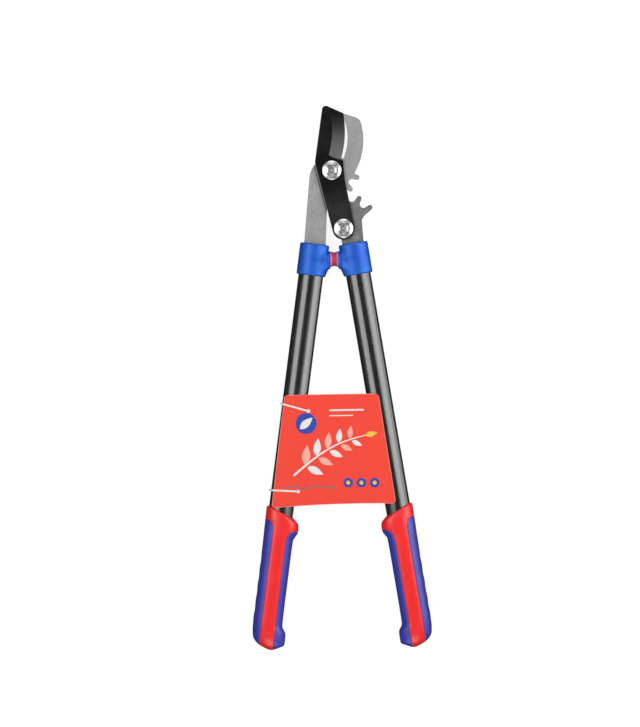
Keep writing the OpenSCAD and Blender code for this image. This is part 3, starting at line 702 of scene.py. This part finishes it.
def make_bumpers():
    """Cushioned buttons with a ribbed side, on pale flanges that seat in the sockets of the bosses."""
    columns = 72
    face_u, flange_u, seat_u, stem_u = 0.03, 3.2, 5.1, 7.65
    button_r, flange_r, stem_r = 9.3, 10.2, 8.2
    profile = [(face_u + 0.35, 0.01), (face_u + 0.3, 6.6), (face_u + 0.12, 7.2), (face_u, 7.8),
               (face_u + 0.04, 8.3), (face_u + 0.25, 8.9), (face_u + 0.6, button_r - 0.1), (face_u + 0.95, button_r),
               (face_u + 1.3, button_r - 0.1), (face_u + 1.55, button_r - 0.35), (face_u + 1.8, button_r - 0.1),
               (face_u + 2.2, button_r), (flange_u - 0.3, button_r), (flange_u, button_r - 0.2),
               (flange_u, flange_r - 0.35), (flange_u + 0.35, flange_r), (seat_u - 0.2, flange_r),
               (seat_u, flange_r - 0.2), (seat_u, stem_r), (stem_u - 0.3, stem_r), (stem_u, stem_r - 0.3),
               (stem_u, 0.01)]
    flange_rows = range(13, 17)
    cos_a, sin_a = math.cos(HANDLE_ANGLE), math.sin(HANDLE_ANGLE)
    stop = (TUBE_TOP_MM - 4.0 + 20.5) * cos_a
    for side in SIDES:
        points = []
        for u, r in profile:
            for k in range(columns):
                w = stop + r * math.cos(k * TAU / columns)
                points.append((u * cos_a - w * sin_a, u * sin_a + w * cos_a,
                               MID_Z_MM + r * math.sin(k * TAU / columns)))
        faces = strip_faces(len(profile), columns) + ring_caps(len(profile), columns)
        paints = [int(k // columns in flange_rows) for k in range(len(faces))]
        piece(f"{side}_bumper.finished", from_handle(side, points), faces, ["bumper_red", "bumper_rim"],
              f"{side}_handle", [f"{side}_bumper"], sharp=35, face_paints=paints)


# Grips: a red sleeve with two blue pads let into it
GRIP_LEN_MM = 183.7
GRIP_END_MM = 27.5
GRIP_T_MM = 30.2
GRIP_SQUARE = 2.4
PAD_T_MM = 1.6
# Distance from the top, slant, how far the outer and then the inner edge stand out beyond the side
# of the tube, share of the thickness
GRIP_RINGS = [[6.2, 0.35, 1.6, 1, 0.86], [7.0, 0.345, 2.4, 2.6, 0.91], [8.2, 0.34, 3, 4.5, 0.95],
              [11.5, 0.31, 3, 8.2, 0.98], [18, 0.27, 2.9, 9.4, 1], [25, 0.22, 2.7, 9, 1],
              [31.5, 0.17, 2.6, 6.8, 1], [38, 0.12, 2.4, 4.4, 1], [60, 0, 2.1, 4, 1], [100, 0, 2, 4, 1],
              [146, 0, 2, 4.2, 1], [152, 0, 1.9, 4.5, 1], [154.5, 0, 1.75, 5.6, 1], [159, 0, 1.3, 8.9, 1],
              [161.5, 0, 1, 9.8, 0.99], [169, 0, -0.4, 10.2, 0.95], [175, 0, -4.4, 10.2, 0.85],
              [176.8, 0, -6.6, 9, 0.8], [179, 0, -9.8, 5.2, 0.7], [182, 0, -17, -0.5, 0.48],
              [183.7, 0, -22, -4, 0.25]]
# Borders of the pads as [distance from the top, v beyond the side of the tube]
OUTER_BORDER = [[15.9, 4.5], [16.9, 1.2], [18.2, -2.6], [20.3, -6], [24.5, -7.9], [32, -9], [60, -9.1],
                [150, -9.1], [175, -9.8], [200, -10.6]]
INNER_BORDER = [[26.6, 13], [27.8, 9], [28.9, 5], [30.5, 1], [33, -1.9], [38, -3.6], [44, -4.8], [60, -5],
                [148, -4.3], [200, -3.1]]
FINGER_PITCH_MM = 21.0
FINGER_DEPTH_MM = 0.45


def grip_stations():
    """Distances of the rings from the top, closer where the form turns quickly."""
    spans = [(6.2, 9, 0.4), (9, 15, 0.8), (15, 35, 0.7), (35, 46, 1.2), (46, 146, 2.5), (146, 172, 1.0),
             (172, 183.7, 0.55)]
    stations = []
    for start, stop, step in spans:
        stations += list(np.linspace(start, stop, max(2, round((stop - start) / step)), endpoint=False))
    return stations + [GRIP_LEN_MM]


def grip_section(g, slant, outer, inner, share):
    """Dense points round one ring, from the outer side over the front, as v, s and z."""
    t = np.linspace(0, TAU, 481)
    high, low = TUBE_W_MM / 2 + outer, -TUBE_W_MM / 2 - inner
    centre, half = (high + low) / 2, (high - low) / 2
    power = 2 / GRIP_SQUARE
    cos_t, sin_t = np.cos(t), np.sin(t)
    v = centre + half * np.sign(cos_t) * np.abs(cos_t) ** power
    z = share * GRIP_T_MM / 2 * np.sign(sin_t) * np.abs(sin_t) ** power
    return v, g - slant * v, z


def spread(start, stop, count, edges):
    """Places from start to stop, with closer ones by both ends."""
    width = stop - start
    close = np.minimum(np.array(edges), width * 0.04 * (1 + np.arange(len(edges))))
    inner = np.linspace(start + close[-1], stop - close[-1], count)
    return np.concatenate([start + close[:-1], inner, (stop - close[:-1])[::-1]])


EDGE_STEPS = [0, 0.25, 0.6, 1.1, 1.7]


def grip_rings():
    """For each ring: its section's points, their distance along the ring, and where the front ends at the outer and
    at the inner pad.
    """
    table = np.array(GRIP_RINGS)
    curves = [smooth_curve(table[:, 0], table[:, k]) for k in range(1, 5)]
    outer_border = smooth_curve(*zip(*OUTER_BORDER))
    inner_border = smooth_curve(*zip(*INNER_BORDER))
    rings = []
    for g in grip_stations():
        slant, outer, inner, share = (float(curve(g)) for curve in curves)
        wave = smooth_step(g, 52, 66) * (1 - smooth_step(g, 148, 158))
        outer -= FINGER_DEPTH_MM * wave * (1 - math.cos(TAU * (g - 60) / FINGER_PITCH_MM)) / 2
        v, s, z = grip_section(g, slant, outer, inner, share)
        way = np.concatenate([[0], np.cumsum(np.hypot(np.diff(v), np.diff(z)))])
        front = slice(0, 241)
        in_outer = v[front] - TUBE_W_MM / 2 - outer_border(s[front])
        in_inner = -v[front] - TUBE_W_MM / 2 - inner_border(s[front])
        out_at = way[np.argmax(in_outer < 0)] if in_outer[0] > 0 else 0.0
        in_at = way[240 - np.argmax(in_inner[::-1] < 0)] if in_inner[-1] > 0 else way[240]
        if in_outer[0] > 0:
            k = int(np.argmax(in_outer < 0))
            part = in_outer[k - 1] / (in_outer[k - 1] - in_outer[k])
            out_at = way[k - 1] + part * (way[k] - way[k - 1])
        if in_inner[-1] > 0:
            k = 240 - int(np.argmax(in_inner[::-1] < 0))
            part = in_inner[k] / (in_inner[k] - in_inner[k + 1])
            in_at = way[k] + part * (way[k + 1] - way[k])
        rings.append(dict(g=g, v=v, s=s, z=z, way=way, out_at=min(out_at, in_at), in_at=in_at))
    return rings


def on_ring(ring, way, sink):
    """Points [v, s, z] at places along a ring, sunk below its surface."""
    around = ring["way"][-1]
    way = np.asarray(way) % around
    probe = 0.4
    v, z, s = (np.interp(way, ring["way"], ring[k]) for k in ("v", "z", "s"))
    ahead, behind = (way + probe) % around, (way - probe) % around
    dv = np.interp(ahead, ring["way"], ring["v"]) - np.interp(behind, ring["way"], ring["v"])
    dz = np.interp(ahead, ring["way"], ring["z"]) - np.interp(behind, ring["way"], ring["z"])
    size = np.maximum(np.hypot(dv, dz), 1e-6)
    return np.stack([v - sink * dz / size, s, MID_Z_MM + z + sink * dv / size], -1)


def groove(distance, depth=0.5, width=1.1):
    return depth * np.clip(1 - distance / width, 0, 1) ** 2


GRIP_COLUMNS = {"front": 20, "inner": 18, "outer": 22}


def make_grip(side, rings):
    """The sleeve with its recesses, and the outer and the inner pad."""
    grip_top = TUBE_END_MM + GRIP_END_MM - GRIP_LEN_MM
    shift = np.array([0, grip_top, 0])
    body = f"{side}_handle"
    sleeve, outer_pad, inner_pad = [], [], []
    for ring in rings:
        around = ring["way"][-1]
        stretches = [(ring["out_at"], ring["in_at"], "front"), (ring["in_at"], around - ring["in_at"], "inner"),
                     (around - ring["in_at"], around - ring["out_at"], "front"),
                     (-ring["out_at"], ring["out_at"], "outer")]
        row = []
        for start, stop, kind in stretches:
            ways = spread(start, stop, GRIP_COLUMNS[kind], EDGE_STEPS)
            near = np.minimum(ways - start, stop - ways)
            has_pad = stop - start > 0.02 if kind != "front" else False
            if kind == "front":
                at_outer = ring["out_at"] > 0.01
                at_inner = around / 2 - ring["in_at"] > 0.01
                to_outer = np.abs(ways - start) if start < around / 4 else np.abs(stop - ways)
                to_inner = np.abs(stop - ways) if start < around / 4 else np.abs(ways - start)
                sink = groove(to_outer) * at_outer + groove(to_inner) * at_inner
                row.append(on_ring(ring, ways, sink))
                continue
            depth = min(PAD_T_MM, 0.25 * (stop - start)) if has_pad else 0.0
            floor = on_ring(ring, ways, np.full(len(ways), depth))
            row.append(floor)
            if has_pad:
                top = on_ring(ring, ways, groove(near))
                under = on_ring(ring, ways, np.full(len(ways), max(depth - 0.02, 0.0)))
                (inner_pad if kind == "inner" else outer_pad).append(np.concatenate([top, under[::-1]]))
        sleeve.append(np.concatenate(row))
    columns = len(sleeve[0])
    bore = []
    top_ring = sleeve[0]
    a, b = TUBE_W_MM / 2 + 0.05, TUBE_T_MM / 2 + 0.05
    for point in top_ring:
        v, z = point[0], point[2] - MID_Z_MM
        reach = 1 / math.hypot(v / a, z / b)
        for _ in range(6):
            reach -= oval_distance(v * reach, z * reach, 0.05) / math.hypot(v, z)
        bore.append((v * reach, point[1], MID_Z_MM + z * reach))
    bore = np.array(bore)
    deep = bore.copy()
    deep[:, 1] = TUBE_END_MM + 0.5 - grip_top
    rows = [deep, bore] + sleeve
    points = np.concatenate(rows) + shift
    faces = strip_faces(len(rows), columns) + ring_caps(len(rows), columns)
    piece(f"{side}_grip_sleeve.finished", from_handle(side, points), faces, ["grip_red"], body,
          [f"{side}_grip_sleeve"], sharp=55)
    for kind, pad in (("outer", outer_pad), ("inner", inner_pad)):
        columns = len(pad[0])
        faces = strip_faces(len(pad), columns) + ring_caps(len(pad), columns)
        piece(f"{side}_grip_{kind}_pad.finished", from_handle(side, np.concatenate(pad) + shift), faces,
              ["pad_blue"], body, [f"{side}_grip_{kind}_pad"], sharp=55)


def make_grips():
    rings = grip_rings()
    for side in SIDES:
        make_grip(side, rings)


# Hang tag with a plain leaf print, and its ties
TAG_TOP_MM = dict(y=-288.04, width=120.9, shift=-0.3, rise=1.0)
TAG_BOTTOM_MM = dict(y=-431.24, width=160.3, shift=2.7, rise=3.0)
TAG_T_MM = 0.5
TAG_CORNER_R_MM = 5.0
TAG_RIM_MM = 0.6
TAG_BOW_MM = 2.0
TAG_SAG_MM = 1.6
TAG_HOLE_D_MM = 4.4


def tag_place(a, b):
    """A place on the tag, for a from -1 at its left to 1 at its right and b from 0 at its top to 1."""
    def line(edge, bow):
        return (edge["shift"] + a * edge["width"] / 2, edge["y"] + a * edge["rise"] + bow * (1 - a * a))
    (x0, y0), (x1, y1) = line(TAG_TOP_MM, 0.3), line(TAG_BOTTOM_MM, TAG_BOW_MM)
    return x0 + (x1 - x0) * b, y0 + (y1 - y0) * b


def tag_height(x, y):
    """Height of the tag's lower face: it lies on both tubes, sags between them and curls below."""
    lowest = frame_low_tag
    down = (TAG_TOP_MM["y"] - y) / (TAG_TOP_MM["y"] - TAG_BOTTOM_MM["y"])
    half = (APEX_MM[1] - y) * math.tan(HANDLE_ANGLE)
    middle = APEX_MM[0] + (APEX_MM[1] - y) * math.tan(MIDDLE_LEAN)
    off = np.clip(np.abs(x - middle) / half, 0, 1.5)
    sag = TAG_SAG_MM * (1 - smooth_step(off, 0, 0.85))
    curl = 1.8 * smooth_step(down, 0.72, 1.0) * smooth_step(np.abs(x - middle), 30, 78)
    return lowest + 0.02 - sag + curl


frame_low_tag = node_points("hang_tag")[:, 2].min()


def make_tag():
    edges = [0, 0.15, TAG_RIM_MM, 1.2, 2.0, 3.0, 4.0, TAG_CORNER_R_MM]
    tall = TAG_TOP_MM["y"] - TAG_BOTTOM_MM["y"]
    downs = np.concatenate([edges, np.linspace(9, tall - 9, 42), tall - np.array(edges)[::-1]])
    side_steps = [0, 0.25, TAG_RIM_MM, 1.2, 2.2]
    lower, upper = [], []
    for down in downs:
        from_end = min(down, tall - down)
        cut = 0.0
        if from_end < TAG_CORNER_R_MM:
            cut = TAG_CORNER_R_MM - math.sqrt(TAG_CORNER_R_MM ** 2 - (TAG_CORNER_R_MM - from_end) ** 2)
        width = TAG_TOP_MM["width"] + (TAG_BOTTOM_MM["width"] - TAG_TOP_MM["width"]) * down / tall
        half = width / 2 - cut
        inner = np.linspace(4.5 - half, half - 4.5, 53)
        places = np.concatenate([np.array(side_steps) - half, inner, half - np.array(side_steps)[::-1]])
        for place in places:
            x, y = tag_place(place / (width / 2), down / tall)
            z = tag_height(x, y)
            lower.append((x, y, z))
            upper.append((x, y, z + TAG_T_MM))
    rows, columns = len(downs), len(places)
    count = rows * columns
    faces = strip_faces(rows, columns, 0, False) + strip_faces(rows, columns, count, False)
    rim_columns = list(range(side_steps.index(TAG_RIM_MM)))
    rim_columns += [columns - 2 - k for k in rim_columns]
    rim_rows = list(range(edges.index(TAG_RIM_MM)))
    rim_rows += [rows - 2 - k for k in rim_rows]
    sheet = [int(k in rim_rows or i in rim_columns) for k in range(rows - 1) for i in range(columns - 1)]
    border = list(range(columns)) + [columns * (k + 1) - 1 for k in range(1, rows)]
    border += [columns * (rows - 1) + k for k in range(columns - 2, -1, -1)]
    border += [columns * k for k in range(rows - 2, 0, -1)]
    for i, a in enumerate(border):
        b = border[(i + 1) % len(border)]
        faces.append((a, b, b + count, a + count))
    paints = sheet * 2 + [1] * len(border)
    card = piece("hang_tag.finished", lower + upper, faces, ["tag_card", "tag_rim"], "left_handle", ["hang_tag"],
                 sharp=40, face_paints=paints)
    for tie in TIES:
        cut_hole(card, tie_point(tie, TIE_HOLE_V_MM, 0))
    return card


def cut_hole(card, centre):
    columns = 40
    points = [(centre[0] + TAG_HOLE_D_MM / 2 * math.cos(k * TAU / columns),
               centre[1] + TAG_HOLE_D_MM / 2 * math.sin(k * TAU / columns), z)
              for z in (15, 35) for k in range(columns)]
    mesh = bpy.data.meshes.new("cutter")
    mesh.from_pydata([tuple(p * MM for p in q) for q in points], [],
                     strip_faces(2, columns) + ring_caps(2, columns))
    cutter = add_object("cutter", mesh)
    hole = card.modifiers.new("hole", "BOOLEAN")
    hole.operation = "DIFFERENCE"
    hole.object = cutter
    hole.solver = "EXACT"
    bpy.context.view_layer.update()
    cut = bpy.data.meshes.new_from_object(card.evaluated_get(bpy.context.evaluated_depsgraph_get()))
    card.modifiers.clear()
    card.data = cut
    bpy.data.objects.remove(cutter)
    bpy.data.meshes.remove(mesh)


# Ties as the distance along the left handle from the apex, and their turn in the plane
TIES = {"upper": (378.3, math.radians(8)), "lower": (486.5, math.radians(-4.5))}
TIE_W_MM = 2.4
TIE_T_MM = 1.3
TIE_HOLE_V_MM = -18.85


def tie_point(tie, v, y):
    """A point of a tie's own plane, v across the handle and y up it, as x and y of the frame."""
    s, turn = TIES[tie]
    across = v * math.cos(turn) - y * math.sin(turn)
    up = v * math.sin(turn) + y * math.cos(turn)
    return from_handle("left", np.array([across, s - up, 0]))[:2]


def rounded_loop(corners, steps=7):
    """Points and outward normals round a polygon of [x, z, corner radius]."""
    points = []
    count = len(corners)
    for k in range(count):
        p, q, r = (np.array(corners[(k + d) % count][:2], float) for d in (-1, 0, 1))
        radius = corners[k][2]
        a, b = (p - q) / np.linalg.norm(p - q), (r - q) / np.linalg.norm(r - q)
        half = math.acos(np.clip(a @ b, -1, 1)) / 2
        centre = q + (a + b) / np.linalg.norm(a + b) * radius / math.sin(half)
        start, stop = q + a * radius / math.tan(half) - centre, q + b * radius / math.tan(half) - centre
        first = math.atan2(start[1], start[0])
        turn = (math.atan2(stop[1], stop[0]) - first + math.pi) % TAU - math.pi
        for i in range(steps + 1):
            angle = first + turn * i / steps
            way = np.array([math.cos(angle), math.sin(angle)])
            points.append((centre + radius * way, way))
    return points


def make_ties():
    """Soft plastic bands with rounded sides, each a loop round the tube and through the tag."""
    section = []
    sides = 16
    for k in range(sides):
        angle = k * TAU / sides
        power = 0.55
        c, s = math.cos(angle), math.sin(angle)
        section.append((math.copysign(abs(c) ** power, c) * TIE_W_MM / 2,
                        math.copysign(abs(s) ** power, s) * TIE_T_MM / 2))
    loops = node_points("upper_tag_tie")[:, 2]
    low, high = loops.min() + TIE_T_MM / 2, loops.max() - TIE_T_MM / 2
    left, right = TIE_HOLE_V_MM, TUBE_W_MM / 2 + 0.9 + TIE_T_MM / 2
    loop = rounded_loop([[left, low, 5.6], [right, low, 5.6], [right, high, 3.6], [left, high, 1.2]])
    for tie in TIES:
        points = []
        for centre, way in loop:
            for wide, thick in section:
                v, z = centre + way * thick
                x, y = tie_point(tie, v, wide)
                points.append((x, y, z))
        rows = len(loop)
        faces = strip_faces(rows, sides)
        last = (rows - 1) * sides
        faces += [(last + i, last + (i + 1) % sides, (i + 1) % sides, i) for i in range(sides)]
        piece(f"{tie}_tag_tie.finished", points, faces, ["tie_white"], "left_handle", [f"{tie}_tag_tie"], sharp=60)


# Print on the tag: leaves on a twig, discs and rules, as outlines [a, b] on the tag
PRINT_LIFT_MM = 0.06
PRINT_T_MM = 0.05


def print_outline(shape):
    return [tag_place(a, b) for a, b in shape]


def fill_outline(outline, grid=4.0):
    """Triangles inside an outline, with inner points on a grid so that they follow the card."""
    points = [Vector(p) for p in outline]
    count = len(points)
    xs, ys = [p[0] for p in outline], [p[1] for p in outline]
    for x in np.arange(min(xs) + grid / 2, max(xs), grid):
        for y in np.arange(min(ys) + grid / 2, max(ys), grid):
            points.append(Vector((x, y)))
    made = delaunay_2d_cdt(points, [(k, (k + 1) % count) for k in range(count)], [], 1, 1e-4)
    return [tuple(p) for p in made[0]], [tuple(f) for f in made[2]]


def make_print(name, paint, shapes, layer):
    """One colour of the print as thin flat solids on the card, each layer on the ones below it."""
    points, faces = [], []
    for shape in shapes:
        flat, triangles = fill_outline(shape)
        start, count = len(points), len(flat)
        low = PRINT_LIFT_MM + layer * (PRINT_T_MM + PRINT_LIFT_MM)
        for lift in (low, low + PRINT_T_MM):
            points += [(x, y, tag_height(x, y) + TAG_T_MM + lift) for x, y in flat]
        uses = {}
        for triangle in triangles:
            faces.append(tuple(start + k for k in triangle[::-1]))
            faces.append(tuple(start + count + k for k in triangle))
            for k in range(3):
                edge = (triangle[k], triangle[(k + 1) % 3])
                uses[frozenset(edge)] = None if frozenset(edge) in uses else edge
        for edge in filter(None, uses.values()):
            a, b = start + edge[0], start + edge[1]
            faces.append((a, b, b + count, a + count))
    piece(name, points, faces, [paint], "left_handle", sharp=40)


def tag_centre():
    return np.array(tag_place(0, 0.5))


def disc(x, y, radius, steps=48):
    centre = tag_centre()
    return [(centre[0] + x + radius * math.cos(k * TAU / steps), centre[1] + y + radius * math.sin(k * TAU / steps))
            for k in range(steps)]


def leaf(x, y, length, width, angle, steps=14):
    """A pointed leaf from its foot at x, y."""
    centre = tag_centre()
    outline = []
    for k in range(2 * steps):
        t = k / steps if k <= steps else 2 - k / steps
        half = width / 2 * math.sin(math.pi * t ** 0.8) * (1 if k <= steps else -1)
        along = length * t
        outline.append((centre[0] + x + along * math.cos(angle) - half * math.sin(angle),
                        centre[1] + y + along * math.sin(angle) + half * math.cos(angle)))
    return outline


def ribbon(way, width, steps=40):
    """A band of tapering width along a curve way(t)."""
    centre = tag_centre()
    left, right = [], []
    for k in range(steps + 1):
        t = k / steps
        p, q = np.array(way(t)), np.array(way(t + 0.001))
        along = (q - p) / np.linalg.norm(q - p)
        across = np.array([-along[1], along[0]]) * width(t) / 2
        left.append(tuple(centre + p + across))
        right.append(tuple(centre + p - across))
    return left + right[::-1]


def twig(t):
    return (-50 + 92 * t, -34 + 52 * t + 9 * math.sin(math.pi * t))


def make_prints():
    white = [ribbon(twig, lambda t: 2.6 - 1.4 * t)]
    pink, yellow = [], []
    for k in range(5):
        t = 0.16 + 0.155 * k
        x, y = twig(t)
        lean = math.atan2(52, 92)
        size = 25 - 2.2 * k
        (white if k % 2 else pink).append(leaf(x, y + 1.6, size, size * 0.42, lean + 0.95))
        (pink if k % 2 else white).append(leaf(x + 3, y - 1.6, size * 0.9, size * 0.38, lean - 0.95))
    tip_x, tip_y = twig(1.0)
    yellow.append(leaf(tip_x, tip_y, 16, 7, math.atan2(20, 92)))
    blue = [disc(-34, 33, 13.5)]
    white.append(leaf(-42, 26, 22, 9.5, math.radians(42)))
    for k in range(3):
        blue.append(disc(20 + 17 * k, -43, 6.2))
        yellow.append(disc(20 + 17 * k, -43, 2.6, 24))
    white.append(ribbon(lambda t: (-4 + 44 * t, 50 + 0.7 * t), lambda t: 2.2))
    white.append(ribbon(lambda t: (-4 + 30 * t, 43 + 0.5 * t), lambda t: 1.4))
    grey_marks = [ribbon(lambda t: (-62 + 66 * t, -50 + 1.6 * math.sin(t * 4 * math.pi) + 2 * t), lambda t: 1.6)]
    for name, paint, shapes, layer in (("tag_print_blue", "print_blue", blue[:1], 0),
                                       ("tag_print_discs", "print_blue", blue[1:], 0),
                                       ("tag_print_white", "print_white", white, 1),
                                       ("tag_print_pink", "print_pink", pink, 0),
                                       ("tag_print_yellow", "print_yellow", yellow, 2),
                                       ("tag_print_grey", "print_grey", grey_marks, 0)):
        make_print(name, paint, shapes, layer)


# Studio
OBJECT_CENTRE = Vector((-0.01506, -0.2484, MID_Z_MM * MM))
VIEW_WIDTH = 0.8237
LENS_MM = 250
SENSOR_MM = 36


def make_camera():
    data = bpy.data.cameras.new("camera")
    data.sensor_fit = "HORIZONTAL"
    data.sensor_width = SENSOR_MM
    data.lens = LENS_MM
    data.clip_end = 50
    made = add_object("camera", data)
    made.location = OBJECT_CENTRE + Vector((0, 0, VIEW_WIDTH * LENS_MM / SENSOR_MM))
    bpy.context.scene.camera = made


def softbox(name, way, distance, size, radiance, rise=0.0):
    """A soft light that faces the object from a direction, moved up it, and that no camera sees."""
    data = bpy.data.lights.new(name, "AREA")
    data.shape = "RECTANGLE"
    data.size, data.size_y = size
    data.energy = radiance * math.pi * size[0] * size[1]
    made = add_object(name, data)
    way = Vector(way).normalized()
    made.location = OBJECT_CENTRE + way * distance + Vector((0, rise, 0))
    made.rotation_euler = way.to_track_quat("Z", "Y").to_euler()
    made.visible_camera = False


def make_floor():
    reach = 12.0
    mesh = bpy.data.meshes.new("floor")
    corners = [(-reach, -reach, 0), (reach, -reach, 0), (reach, reach, 0), (-reach, reach, 0)]
    mesh.from_pydata(corners, [], [(0, 1, 2, 3)])
    mesh.materials.append(floor_paint())
    add_object("floor", mesh)


def make_studio():
    """A long softbox on each side, a low one on the right, and a fill at each end."""
    for name, turn, tilt, width, radiance in (("left", -1, 31, 0.61, 3.1), ("right", 1, 43, 0.66, 3.6),
                                              ("right_low", 1, 70, 0.4, 2.0)):
        way = (turn * math.sin(math.radians(tilt)), 0, math.cos(math.radians(tilt)))
        softbox(f"softbox_{name}", way, 1.23, (1.0, width), radiance, rise=0.17)
    for end, turn, radiance in (("top", 1, 2.0), ("bottom", -1, 3.0)):
        softbox(f"softbox_{end}", (0, turn * 1.1, 0.8), 1.9, (0.9, 1.4), radiance)
    world = bpy.data.worlds.new("studio")
    world.use_nodes = True
    tree = world.node_tree
    path = tree.nodes.new("ShaderNodeLightPath")
    tone = tree.nodes.new("ShaderNodeMix")
    tone.data_type = "RGBA"
    tone.inputs[6].default_value = grey(82)
    tone.inputs[7].default_value = grey(240)
    tree.links.new(path.outputs["Is Camera Ray"], tone.inputs[0])
    tree.links.new(tone.outputs[2], tree.nodes["Background"].inputs["Color"])
    bpy.context.scene.world = world
    bpy.context.scene.view_settings.view_transform = "Standard"


make_camera()
make_floor()
make_studio()
make_plates()
make_fasteners()
paint_cad_nodes()
make_ferrules()
make_bumpers()
make_grips()
make_tag()
make_ties()
make_prints()
